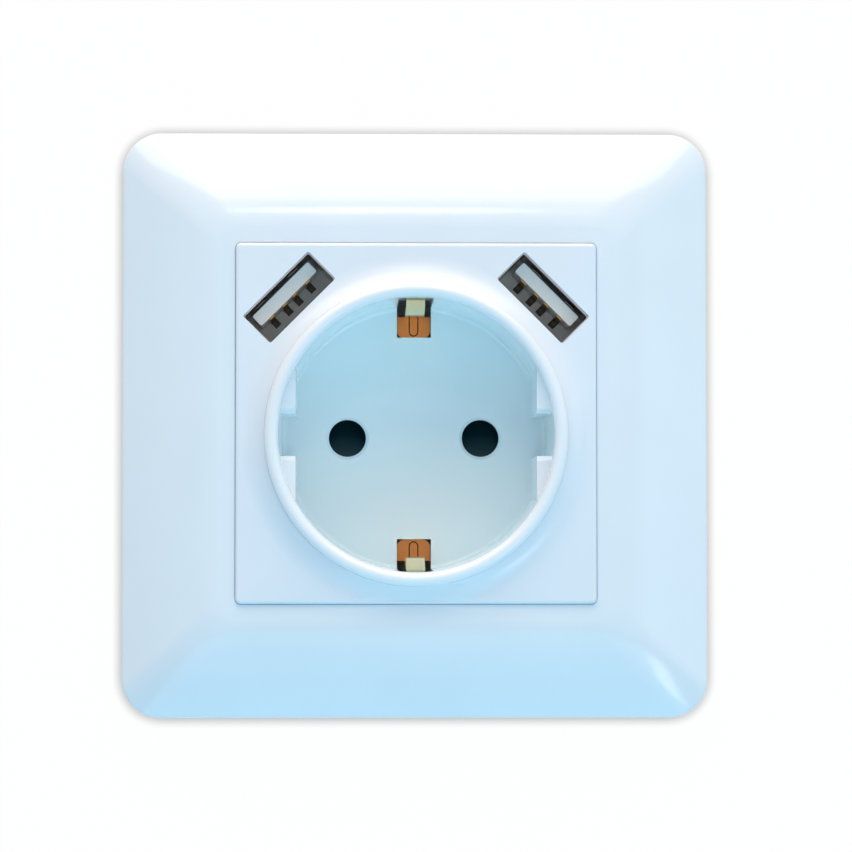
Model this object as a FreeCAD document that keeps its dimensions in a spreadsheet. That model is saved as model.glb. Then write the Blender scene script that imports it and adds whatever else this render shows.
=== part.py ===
import FreeCAD
import Part
import Sketcher

import math
import os

# USB wall socket: a recessed two-pin socket with side earth clips and two USB outlets, behind a wide
# square cover frame. X runs to the viewer's right, Y runs into the wall and Z runs up. The origin is on
# the wall's surface, midway between the two box screws. Lengths are in millimetres, angles in degrees.

SIZES = {
    # Cover frame
    "frame_width": 82.0,
    "frame_corner": 5.4,
    "frame_side": 2.9,
    "frame_height": 8.8,
    "frame_wall": 1.8,
    "frame_land": 2.2,
    "frame_curve": 1.55,
    "frame_edge": 0.7,
    "opening_gap": 0.2,
    "opening_edge": 0.35,
    "collar_wall": 1.4,
    # Centre plate
    "plate_width": 50.0,
    "plate_corner": 1.0,
    "plate_proud": 0.6,
    "plate_wall": 1.8,
    "plate_edge": 0.5,
    "skirt_wall": 1.2,
    "flare_radius": 5.5,
    "flare_rise": 1.4,
    "ring_gap": 0.15,
    "notch_height": 7.0,
    "notch_depth": 3.2,
    # Plug well
    "well_drop": 1.6,
    "well_depth": 17.5,
    "well_radius": 18.8,
    "well_wall": 1.5,
    "lip_proud": 2.6,
    "lip_radius": 21.0,
    "lip_inner": 19.05,
    "lip_length": 3.4,
    "floor_wall": 2.0,
    "floor_fillet": 0.6,
    "guide_flat": 16.7,
    "guide_gap": 5.9,
    "guide_setback": 2.4,
    "guide_bevel": 0.7,
    "pin_pitch": 19.0,
    "pin_hole_radius": 2.65,
    "pin_hole_bevel": 0.4,
    "pin_radius": 2.4,
    "window_width": 4.86,
    "window_inner": 14.4,
    "window_setback": 3.0,
    # Support ring
    "ring_margin": 3.7,
    "ring_corner": 12.0,
    "ring_thickness": 1.0,
    "box_pitch": 60.0,
    "slot_width": 4.0,
    "slot_length": 7.0,
    "slip_gap": 0.3,
    "rivet_radius": 1.2,
    "rivet_head": 1.9,
    "rivet_head_height": 0.6,
    "upper_rivet_across": 21.6,
    "upper_rivet_up": 8.6,
    "lower_rivet_across": 20.5,
    "lower_rivet_up": -15.5,
    # Housing and rear cover
    "flange_radius": 29.2,
    "flange_depth": 10.0,
    "flange_flat": 25.2,
    "housing_radius": 25.2,
    "housing_depth": 30.0,
    "side_flat": 21.5,
    "side_pocket": 11.6,
    "cover_thickness": 2.0,
    "cover_edge": 0.6,
    "cavity_wall": 1.6,
    "cavity_bottom": 8.4,
    "cavity_depth": 15.8,
    "cavity_crown": 2.2,
    "terminal_pitch": 12.0,
    "terminal_up": -13.8,
    "terminal_size": 6.6,
    "terminal_length": 6.0,
    "terminal_wall": 0.9,
    "terminal_recess": 1.5,
    "terminal_corner": 0.5,
    "terminal_screw_radius": 1.45,
    "terminal_screw_head": 2.6,
    "terminal_screw_rise": 2.0,
    "terminal_screw_slot": 0.7,
    "wire_hole_radius": 1.9,
    "tester_slot": 3.0,
    "cover_screw_across": 18.4,
    "cover_screw_up": -8.2,
    "cover_screw_radius": 1.05,
    "cover_screw_length": 8.0,
    "cover_screw_head": 2.3,
    "cover_screw_rise": 1.5,
    "cover_screw_slot": 0.6,
    "cover_screw_bite": 0.8,
    "vent_width": 14.0,
    "vent_height": 1.2,
    "vent_pitch": 2.6,
    "vent_up": 11.0,
    "vent_count": 4,
    # Shutter
    "shutter_width": 26.0,
    "shutter_height": 6.4,
    "shutter_depth": 3.6,
    "shutter_ridge": 1.2,
    "shutter_lip": 0.8,
    "shutter_travel": 6.2,
    "spring_across": 6.0,
    "spring_solid": 2.8,
    "spring_radius": 1.1,
    "spring_wire": 0.18,
    "spring_turns": 6.0,
    # Contacts
    "strip": 0.8,
    "pin_strip": 0.6,
    "contact_front": 13.6,
    "contact_recess": 4.8,
    "contact_grip": 0.1,
    "contact_splay": 0.7,
    "contact_mouth": 3.2,
    "contact_room": 1.0,
    "contact_height": 5.2,
    "tail_width": 4.2,
    "tail_length": 4.0,
    "earth_width": 5.8,
    "earth_middle": 4.6,
    "clip_width": 2.6,
    "clip_reach": 6.6,
    "clip_bow": 1.9,
    "clip_tongue": 1.5,
    "clip_slit": 0.22,
    "clip_start": 2.6,
    "clip_tip": 2.2,
    "clip_shoulder": 1.7,
    "clip_round": 0.9,
    "clip_lean": 0.4,
    "clip_half": 3.0,
    # Claws
    "claw_screw_across": 24.4,
    "claw_screw_radius": 1.75,
    "claw_screw_head": 2.75,
    "claw_screw_rise": 1.9,
    "claw_screw_slot": 0.8,
    "claw_screw_length": 12.0,
    "claw_pivot_across": 27.0,
    "claw_pivot_depth": 13.6,
    "claw_width": 8.0,
    "claw_strip": 1.0,
    "claw_length": 15.4,
    "claw_tooth": 1.7,
    "claw_tooth_pitch": 2.0,
    "claw_relief_length": 5.2,
    "claw_relief_width": 3.2,
    "claw_relief_depth": 7.0,
    "claw_knuckle": 1.8,
    "claw_pin_radius": 1.0,
    "claw_pin_rim": 0.4,
    "ear_gap": 0.3,
    "ear_inner": 24.8,
    "ear_outer": 29.1,
    "run_gap": 0.05,
    # USB outlets
    "usb_across": 17.6,
    "usb_up": 17.4,
    "usb_tilt": 45.0,
    "usb_width": 12.5,
    "usb_height": 5.12,
    "usb_wall": 0.3,
    "usb_length": 11.0,
    "usb_reveal": 0.14,
    "usb_corner": 0.3,
    "tongue_width": 10.9,
    "tongue_height": 1.84,
    "tongue_gap": 0.68,
    "tongue_setback": 0.9,
    "usb_back": 8.2,
    "usb_contact_width": 1.0,
    "usb_contact_inner": 1.0,
    "usb_contact_outer": 3.5,
    "usb_contact_strip": 0.25,
    "usb_contact_tip": 0.6,
    "usb_contact_room": 1.3,
    "usb_spring_across": 3.2,
    "usb_spring_width": 1.8,
    "usb_spring_length": 4.0,
    "usb_spring_setback": 2.4,
    "usb_board_thickness": 1.6,
    "usb_board_bottom": 10.8,
    "usb_board_radius": 28.2,
    # Charger
    "board_thickness": 1.6,
    "board_ledge": 0.9,
    "pin_row_up": 19.9,
    "pin_row_pitch": 2.54,
    "pin_row_size": 0.64,
    "input_can_radius": 4.0,
    "input_can_length": 12.0,
    "input_can_across": 8.8,
    "output_can_radius": 2.5,
    "output_can_length": 9.0,
    "output_can_across": 1.2,
    "can_rise": 1.4,
    "can_groove": 0.35,
    "can_edge": 0.5,
    "can_foot": 1.8,
    "core_width": 10.8,
    "core_height": 4.8,
    "core_length": 9.6,
    "core_leg": 1.6,
    "core_across": -8.4,
    "core_stand": 1.2,
    "coil_width": 7.4,
    "coil_height": 8.6,
    "coil_length": 5.8,
    "coil_middle": 3.0,
    "chip_width": 5.0,
    "chip_height": 3.9,
    "chip_depth": 1.6,
    "chip_across": 15.9,
}

document = FreeCAD.newDocument("usb_wall_socket")


class Size:
    """A dimension: its value, and the formula that gives it from the sheet."""

    def __init__(self, value, formula):
        self.value = value
        self.formula = formula

    def __add__(self, other):
        other = as_size(other)
        return Size(self.value + other.value, f"({self.formula} + {other.formula})")

    def __sub__(self, other):
        other = as_size(other)
        return Size(self.value - other.value, f"({self.formula} - {other.formula})")

    def __mul__(self, other):
        other = as_size(other)
        return Size(self.value * other.value, f"({self.formula} * {other.formula})")

    def __truediv__(self, other):
        other = as_size(other)
        return Size(self.value / other.value, f"({self.formula} / {other.formula})")

    def __pow__(self, other):
        other = as_size(other)
        return Size(self.value ** other.value, f"({self.formula} ^ {other.formula})")

    def __neg__(self):
        return Size(-self.value, f"(0 - {self.formula})")

    def __rsub__(self, other):
        return as_size(other) - self

    __radd__ = __add__
    __rmul__ = __mul__


def as_size(item):
    """Give a plain number as a Size."""
    if isinstance(item, Size):
        return item
    return Size(float(item), f"({float(item)})")


def root(size):
    return Size(math.sqrt(size.value), f"sqrt({size.formula})")


def circle_at(radius, offset):
    """How far a circle reaches along one axis where it is offset along the other."""
    return root(radius * radius - offset * offset)


class SizeSheet:
    """The spreadsheet of driving dimensions, read as attributes."""

    def __init__(self, sizes):
        self.sizes = sizes
        sheet = document.addObject("Spreadsheet::Sheet", "Sizes")
        for row, (word, value) in enumerate(sizes.items(), start=1):
            sheet.set(f"A{row}", word)
            sheet.set(f"B{row}", str(value))
            sheet.setAlias(f"B{row}", word)
        document.recompute()

    def __getattr__(self, word):
        return Size(self.sizes[word], f"Sizes.{word}")


S = SizeSheet(SIZES)


def bind(item, name, size):
    """Set a property's size and tie it to the sheet."""
    item.setExpression(name, as_size(size).formula)


def new_body(label):
    body = document.addObject("PartDesign::Body", label)
    body.Label = label
    return body


def move(item, across=0.0, depth=0.0, up=0.0):
    """Place a piece in the frame."""
    spot = [as_size(value) for value in (across, depth, up)]
    item.Placement.Base = FreeCAD.Vector(*[size.value for size in spot])
    for axis, size in zip("xyz", spot):
        bind(item, f"Placement.Base.{axis}", size)


def sketch_on(body, name, role, offset):
    """Make a sketch on one of the body's own origin planes, moved along the plane's normal."""
    sketch = body.newObject("Sketcher::SketchObject", f"{body.Name}_{name}")
    for plane in body.Origin.OriginFeatures:
        if plane.Role == role:
            sketch.AttachmentSupport = [(plane, "")]
    sketch.MapMode = "FlatFace"
    bind(sketch, "AttachmentOffset.Base.z", offset)
    return sketch


def front_sketch(body, name, depth):
    """A sketch seen from the room: across and up, at a depth from the wall's surface."""
    return sketch_on(body, name, "XZ_Plane", -as_size(depth))


def plan_sketch(body, name, up=0.0):
    """A sketch seen from above: across and depth, at a height."""
    return sketch_on(body, name, "XY_Plane", as_size(up))


def side_sketch(body, name, across=0.0):
    """A sketch seen from the side: depth and up."""
    return sketch_on(body, name, "YZ_Plane", as_size(across))


def fix(sketch, edge, end, point):
    """Hold one end or centre at a point of the sketch."""
    for kind, size in zip(("DistanceX", "DistanceY"), point):
        held = sketch.addConstraint(Sketcher.Constraint(kind, -1, 1, edge, end, size.value))
        bind(sketch, f"Constraints[{held}]", size)


def fix_radius(sketch, edge, radius):
    held = sketch.addConstraint(Sketcher.Constraint("Radius", edge, radius.value))
    bind(sketch, f"Constraints[{held}]", radius)


def arc_between(start, finish, radius, swells):
    """An arc from start to finish, swelling to the right of the way or hollow towards the left."""
    half = (finish - start) * 0.5
    reach = math.sqrt(max(radius ** 2 - half.Length ** 2, 0.0))
    left = FreeCAD.Vector(-half.y, half.x, 0).normalize()
    centre = start + half + left * (reach if swells else -reach)
    ends = [start, finish] if swells else [finish, start]
    low, high = [math.atan2(end.y - centre.y, end.x - centre.x) for end in ends]
    if high < low:
        high += 2 * math.pi
    return Part.ArcOfCircle(Part.Circle(centre, FreeCAD.Vector(0, 0, 1), radius), low, high)


def outline(sketch, corners, arcs=None, hollows=None):
    """Draw a closed outline anticlockwise; arcs and hollows give radii by the corner they start at."""
    arcs = arcs or {}
    hollows = hollows or {}
    corners = [(as_size(a), as_size(b)) for a, b in corners]
    points = [FreeCAD.Vector(a.value, b.value, 0) for a, b in corners]
    count = len(points)
    first = sketch.GeometryCount
    starts = []
    for index in range(count):
        start = points[index]
        finish = points[(index + 1) % count]
        if index in arcs or index in hollows:
            radius = as_size(arcs.get(index, hollows.get(index)))
            sketch.addGeometry(arc_between(start, finish, radius.value, index in arcs), False)
        else:
            sketch.addGeometry(Part.LineSegment(start, finish), False)
        starts.append(2 if index in hollows else 1)
    for index in range(count):
        following = (index + 1) % count
        edges = (first + index, first + following)
        sketch.addConstraint(
            Sketcher.Constraint("Coincident", edges[0], 3 - starts[index], edges[1], starts[following])
        )
        fix(sketch, edges[0], starts[index], corners[index])
        if index in arcs or index in hollows:
            fix_radius(sketch, edges[0], as_size(arcs.get(index, hollows.get(index))))


def box(sketch, left, right, bottom, top):
    outline(sketch, [(left, bottom), (right, bottom), (right, top), (left, top)])


def round_box(sketch, half_width, half_height, radius, across=0.0, up=0.0):
    """Draw a rectangle with round corners about a centre."""
    wide = half_width - radius
    high = half_height - radius
    corners = [
        (across - wide, up - half_height),
        (across + wide, up - half_height),
        (across + half_width, up - high),
        (across + half_width, up + high),
        (across + wide, up + half_height),
        (across - wide, up + half_height),
        (across - half_width, up + high),
        (across - half_width, up - high),
    ]
    outline(sketch, corners, arcs={1: radius, 3: radius, 5: radius, 7: radius})


def disc(sketch, radius, across=0.0, up=0.0):
    radius = as_size(radius)
    centre = (as_size(across), as_size(up))
    spot = FreeCAD.Vector(centre[0].value, centre[1].value, 0)
    circle = Part.Circle(spot, FreeCAD.Vector(0, 0, 1), radius.value)
    edge = sketch.addGeometry(circle, False)
    fix(sketch, edge, 3, centre)
    fix_radius(sketch, edge, radius)


def feature(body, kind, sketch):
    """Add a feature that uses a sketch."""
    item = body.newObject(f"PartDesign::{kind}", f"{sketch.Name}_{kind.lower()}")
    item.Profile = sketch
    sketch.Visibility = False
    item.Refine = True
    return item


def settle(body, item, before, removes):
    """Recompute, and stop where a feature failed or changed nothing."""
    document.recompute()
    change = body.Shape.Volume - before
    if "Invalid" in item.State or "Error" in item.State or not body.Shape.isValid():
        raise RuntimeError(f"{item.Name} failed")
    if (removes and change > -1e-6) or (not removes and change < 1e-6):
        raise RuntimeError(f"{item.Name} changed nothing")
    return item


def volume_of(body):
    return 0.0 if body.Shape.isNull() else body.Shape.Volume


def pad(body, sketch, length, inwards=True, both=False):
    """Raise a sketch, into the wall unless told otherwise."""
    before = volume_of(body)
    item = feature(body, "Pad", sketch)
    bind(item, "Length", length)
    item.Reversed = inwards
    if both:
        item.SideType = "Symmetric"
    return settle(body, item, before, False)


def pocket(body, sketch, length, inwards=True, both=False):
    """Cut a sketch out, into the wall unless told otherwise."""
    before = volume_of(body)
    item = feature(body, "Pocket", sketch)
    bind(item, "Length", length)
    item.Reversed = not inwards
    if both:
        item.SideType = "Symmetric"
    return settle(body, item, before, True)


def turn(body, sketch, removes=False):
    """Revolve a sketch about its upright axis."""
    before = volume_of(body)
    item = feature(body, "Groove" if removes else "Revolution", sketch)
    item.ReferenceAxis = (sketch, ["V_Axis"])
    item.Angle = 360
    return settle(body, item, before, removes)


def loft(body, sketches, removes=False, ruled=False):
    """Skin a row of sketches."""
    before = volume_of(body)
    item = feature(body, "SubtractiveLoft" if removes else "AdditiveLoft", sketches[0])
    item.Sections = sketches[1:]
    item.Ruled = ruled
    for sketch in sketches[1:]:
        sketch.Visibility = False
    return settle(body, item, before, removes)


def soften(body, kind, size, chosen):
    """Fillet or chamfer the edges that a test picks."""
    base = body.Tip
    names = [f"Edge{i}" for i, edge in enumerate(base.Shape.Edges, start=1) if chosen(edge)]
    if not names:
        raise RuntimeError(f"{body.Name} has no edge to soften")
    before = volume_of(body)
    item = body.newObject(f"PartDesign::{kind}", f"{body.Name}_{kind.lower()}_{len(body.Group)}")
    item.Base = (base, names)
    bind(item, "Radius" if kind == "Fillet" else "Size", size)
    document.recompute()
    if "Invalid" in item.State or not body.Shape.isValid() or abs(body.Shape.Volume - before) < 1e-6:
        raise RuntimeError(f"{item.Name} failed")
    return item


def near(value, size, slack=1e-3):
    return abs(value - as_size(size).value) < slack


def lies_at(edge, depth):
    """True where a whole edge lies at one depth."""
    bounds = edge.BoundBox
    return near(bounds.YMin, depth) and near(bounds.YMax, depth)


# Levels: depths from the wall's surface, negative on the room's side.
frame_face = -S.frame_height
plate_face = frame_face - S.plate_proud
lip_face = plate_face - S.lip_proud
floor_face = lip_face + S.well_depth
floor_back = floor_face + S.floor_wall
ring_front = -S.ring_thickness
cover_back = S.housing_depth + S.cover_thickness
shutter_front = floor_back + S.slip_gap
shutter_back = shutter_front + S.shutter_depth
shutter_floor = shutter_back + S.slip_gap
well_up = -S.well_drop
well_outer = S.well_radius + S.well_wall
opening_half = S.plate_width / 2 + S.opening_gap
usb_front = plate_face + S.plate_wall
usb_end = usb_front + S.usb_length
usb_board_back = usb_end + S.usb_board_thickness
ring_half = S.frame_width / 2 - S.frame_wall - S.ring_margin
cavity_radius = S.housing_radius - S.cavity_wall
cavity_front = S.housing_depth - S.cavity_depth
board_front = S.housing_depth - S.board_thickness - S.slip_gap
spring_length = S.shutter_travel + S.spring_solid

# The terminal clamps lie near the back of the housing, and the contacts' tails enter them.
terminal_back = S.housing_depth - S.terminal_recess
terminal_front = terminal_back - S.terminal_length - S.slip_gap
terminal_middle = terminal_back - S.terminal_length / 2
contact_back = S.housing_depth - S.contact_recess
tail_top = S.terminal_up + S.terminal_size / 2 - S.terminal_wall


def outlet_box(sketch, side, grow):
    """Draw an outlet's outline at its slant in its corner of the plate, larger all round by grow."""
    bind(sketch, "AttachmentOffset.Base.x", S.usb_across * side)
    bind(sketch, "AttachmentOffset.Base.y", S.usb_up)
    bind(sketch, "AttachmentOffset.Rotation.Angle", S.usb_tilt * -side)
    round_box(sketch, S.usb_width / 2 + grow, S.usb_height / 2 + grow, S.usb_corner)


def cover_frame():
    """Wide frame: a lofted cushion with soft mitres, hollow behind, with a collar round the plate."""
    body = new_body("cover_frame")
    outer = S.frame_width / 2
    inner = opening_half + S.frame_land
    side = front_sketch(body, "side", 0)
    round_box(side, outer, outer, S.frame_corner)
    pad(body, side, S.frame_side, inwards=False)

    def section(name, share, inset, drop):
        half = inner + (outer - inner) * share - inset
        rise = (S.frame_height - S.frame_side) * (1 - as_size(share) ** S.frame_curve)
        radius = S.plate_corner + S.frame_land + (S.frame_corner - S.plate_corner - S.frame_land) * share
        sketch = front_sketch(body, name, -(S.frame_side + rise - drop))
        round_box(sketch, half, half, radius)
        return sketch

    shares = (1.0, 0.86, 0.66, 0.43, 0.2, 0.0)
    loft(body, [section(f"slope_{i}", share, 0, 0) for i, share in enumerate(shares)])

    hollow = front_sketch(body, "hollow", 0)
    round_box(hollow, outer - S.frame_wall, outer - S.frame_wall, S.frame_corner - S.frame_wall)
    pocket(body, hollow, S.frame_side - S.frame_wall / 2, inwards=False)
    rows = [
        section(f"inside_{i}", share, S.frame_wall, S.frame_wall / 2) for i, share in enumerate((1.0, 0.5))
    ]
    ceiling = front_sketch(body, "ceiling", -(S.frame_height - S.frame_wall))
    round_box(ceiling, inner, inner, S.plate_corner + S.frame_land)
    loft(body, rows + [ceiling], removes=True, ruled=True)

    collar = front_sketch(body, "collar", ring_front)
    collar_half = opening_half + S.collar_wall
    round_box(collar, collar_half, collar_half, S.plate_corner + S.collar_wall)
    pad(body, collar, S.frame_height - S.frame_wall - S.ring_thickness + S.frame_wall / 2, inwards=False)
    opening = front_sketch(body, "opening", 0)
    round_box(opening, opening_half, opening_half, S.plate_corner + S.opening_gap)
    pocket(body, opening, S.frame_height * 2, inwards=False)
    notches = front_sketch(body, "notches", ring_front)
    box(notches, -(inner + 1), inner + 1, -S.notch_height / 2, S.notch_height / 2)
    pocket(body, notches, S.notch_depth, inwards=False)

    def mouth(edge):
        bounds = edge.BoundBox
        return lies_at(edge, frame_face) and bounds.XMax < inner.value - 1 and bounds.XMin > 1 - inner.value

    soften(body, "Fillet", S.opening_edge, mouth)
    soften(body, "Fillet", S.frame_edge, lambda edge: lies_at(edge, -S.frame_side))
    return body


def centre_plate():
    """Square plate with a skirt; its face sweeps up in a flare to the round opening for the well."""
    body = new_body("centre_plate")
    half = S.plate_width / 2
    blank = front_sketch(body, "blank", ring_front)
    round_box(blank, half, half, S.plate_corner)
    pad(body, blank, -plate_face - S.ring_thickness + S.flare_rise, inwards=False)

    opening_radius = S.lip_radius + S.ring_gap
    crest = plate_face - S.flare_rise
    fall = S.flare_radius - S.flare_rise
    flare_end = opening_radius + circle_at(S.flare_radius, fall)
    flare = plan_sketch(body, "flare", well_up)
    outline(
        flare,
        [
            (0, crest - 1),
            (S.plate_width, crest - 1),
            (S.plate_width, plate_face),
            (flare_end, plate_face),
            (opening_radius, crest),
            (0, crest),
        ],
        arcs={3: S.flare_radius},
    )
    turn(body, flare, removes=True)

    hollow = front_sketch(body, "hollow", ring_front)
    inside = half - S.skirt_wall
    round_box(hollow, inside, inside, S.plate_corner / 2)
    pocket(body, hollow, -plate_face - S.ring_thickness - S.plate_wall, inwards=False)
    opening = front_sketch(body, "opening", 0)
    disc(opening, opening_radius, 0, well_up)
    pocket(body, opening, S.plate_width, inwards=False)
    notches = front_sketch(body, "notches", ring_front)
    box(notches, -(half + 1), half + 1, -S.notch_height / 2, S.notch_height / 2)
    pocket(body, notches, S.notch_depth, inwards=False)

    for side, name in ((-1, "left"), (1, "right")):
        port = front_sketch(body, f"{name}_port", 0)
        outlet_box(port, side, S.usb_reveal)
        pocket(body, port, S.plate_width, inwards=False)
        room = front_sketch(body, f"{name}_room", usb_front)
        outlet_box(room, side, S.usb_wall + S.slip_gap)
        pocket(body, room, -usb_front)

    def rim(edge):
        bounds = edge.BoundBox
        middle = edge.CenterOfMass
        on_side = max(abs(middle.x), abs(middle.z)) > half.value - S.plate_corner.value
        return on_side and bounds.YMax < plate_face.value + 1e-3

    soften(body, "Fillet", S.plate_edge, rim)
    return body


def socket_well():
    """Plug well: a turned cup with a rounded lip, guide blocks, pin holes and earth windows."""
    body = new_body("socket_well")
    lip_rounding = (S.lip_radius - S.lip_inner) / 2
    wall = plan_sketch(body, "wall", well_up)
    outline(
        wall,
        [
            (0, floor_face),
            (S.well_radius - S.floor_fillet, floor_face),
            (S.well_radius, floor_face - S.floor_fillet),
            (S.lip_inner, lip_face + lip_rounding),
            (S.lip_inner + lip_rounding, lip_face),
            (S.lip_radius, lip_face + lip_rounding),
            (S.lip_radius, lip_face + S.lip_length),
            (well_outer, lip_face + S.lip_length),
            (well_outer, floor_back),
            (0, floor_back),
        ],
        arcs={3: lip_rounding, 4: lip_rounding},
        hollows={1: S.floor_fillet},
    )
    turn(body, wall)

    buried = S.well_radius + S.well_wall / 2
    gap = S.guide_gap / 2
    guides = front_sketch(body, "guides", floor_face)
    bind(guides, "AttachmentOffset.Base.y", well_up)
    gap_across = circle_at(buried, gap)
    end_up = circle_at(buried, S.guide_flat)
    flat = S.guide_flat
    outline(guides, [(flat, gap), (gap_across, gap), (flat, end_up)], arcs={1: buried})
    outline(guides, [(-flat, gap), (-flat, end_up), (-gap_across, gap)], arcs={1: buried})
    outline(guides, [(-flat, -gap), (-gap_across, -gap), (-flat, -end_up)], arcs={1: buried})
    outline(guides, [(flat, -gap), (flat, -end_up), (gap_across, -gap)], arcs={1: buried})
    pad(body, guides, S.well_depth - S.guide_setback, inwards=False)
    guide_face = lip_face + S.guide_setback

    def guide_nose(edge):
        level = abs(edge.CenterOfMass.z - well_up.value)
        return lies_at(edge, guide_face) and near(level, gap) and edge.BoundBox.ZLength < 1e-3

    soften(body, "Chamfer", S.guide_bevel, guide_nose)

    pins = front_sketch(body, "pins", floor_face)
    for side in (-1, 1):
        disc(pins, S.pin_hole_radius, S.pin_pitch / 2 * side, well_up)
    pocket(body, pins, S.floor_wall)

    def pin_mouth(edge):
        round_edge = edge.Curve.TypeId == "Part::GeomCircle"
        return round_edge and lies_at(edge, floor_face) and near(edge.Curve.Radius, S.pin_hole_radius)

    soften(body, "Chamfer", S.pin_hole_bevel, pin_mouth)

    windows = front_sketch(body, "windows", lip_face + S.window_setback)
    half = S.window_width / 2
    reach = well_outer + 1
    box(windows, -half, half, well_up + S.window_inner, well_up + reach)
    box(windows, -half, half, well_up - reach, well_up - S.window_inner)
    pocket(body, windows, S.well_depth + S.floor_wall - S.window_setback)
    return body


def rivet_holes(sketch):
    for side in (-1, 1):
        disc(sketch, S.rivet_radius + S.run_gap, S.upper_rivet_across * side, S.upper_rivet_up)
        disc(sketch, S.rivet_radius + S.run_gap, S.lower_rivet_across * side, S.lower_rivet_up)


def support_ring():
    """Pressed steel ring that screws to the wall box; bent ears behind it carry the claws."""
    body = new_body("support_ring")
    plate = front_sketch(body, "plate", ring_front)
    round_box(plate, ring_half, ring_half, S.ring_corner)
    pad(body, plate, S.ring_thickness)

    holes = front_sketch(body, "holes", ring_front)
    disc(holes, well_outer + S.slip_gap, 0, well_up)
    for side in (-1, 1):
        disc(holes, S.claw_screw_radius + S.run_gap * 2, S.claw_screw_across * side, 0)
    rivet_holes(holes)
    pocket(body, holes, S.ring_thickness)

    slots = front_sketch(body, "slots", ring_front)
    for side in (-1, 1):
        slot_end = S.slot_width / 2 - 0.001
        round_box(slots, S.slot_width / 2, S.slot_length / 2, slot_end, 0, S.box_pitch / 2 * side)
    pocket(body, slots, S.ring_thickness)

    for side, name in ((-1, "left"), (1, "right")):
        port = front_sketch(body, f"{name}_port", ring_front)
        outlet_box(port, side, S.usb_wall + S.slip_gap)
        pocket(body, port, S.ring_thickness)

    ears = front_sketch(body, "ears", -S.ring_thickness / 2)
    ear_in = S.claw_width / 2 + S.ear_gap
    ear_out = ear_in + S.ring_thickness
    for side in (-1, 1):
        for level in (-1, 1):
            across = sorted((S.ear_inner * side, S.ear_outer * side), key=lambda size: size.value)
            up = sorted((ear_in * level, ear_out * level), key=lambda size: size.value)
            box(ears, across[0], across[1], up[0], up[1])
    pad(body, ears, S.claw_pivot_depth + S.claw_knuckle + S.ring_thickness)
    bores = plan_sketch(body, "bores", 0)
    for side in (-1, 1):
        disc(bores, S.claw_pin_radius + S.run_gap, S.claw_pivot_across * side, S.claw_pivot_depth)
    pocket(body, bores, S.claw_width * 2, both=True)
    return body


def side_flats(body, name, depth, length):
    """Cut the two side pockets in which the claws lie."""
    sketch = front_sketch(body, name, depth)
    far = S.flange_radius + 1
    half = S.side_pocket / 2
    box(sketch, S.side_flat, far, -half, half)
    box(sketch, -far, -S.side_flat, -half, half)
    pocket(body, sketch, length)


def cavity_outline(sketch, grow):
    """Outline of the charger's cavity in the upper half of the housing."""
    radius = cavity_radius + grow
    bottom = S.cavity_bottom - grow
    top = radius - S.cavity_crown
    low = circle_at(radius, bottom)
    high = circle_at(radius, top)
    corners = [(-low, bottom), (low, bottom), (high, top), (-high, top)]
    outline(sketch, corners, arcs={1: radius, 3: radius})


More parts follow.
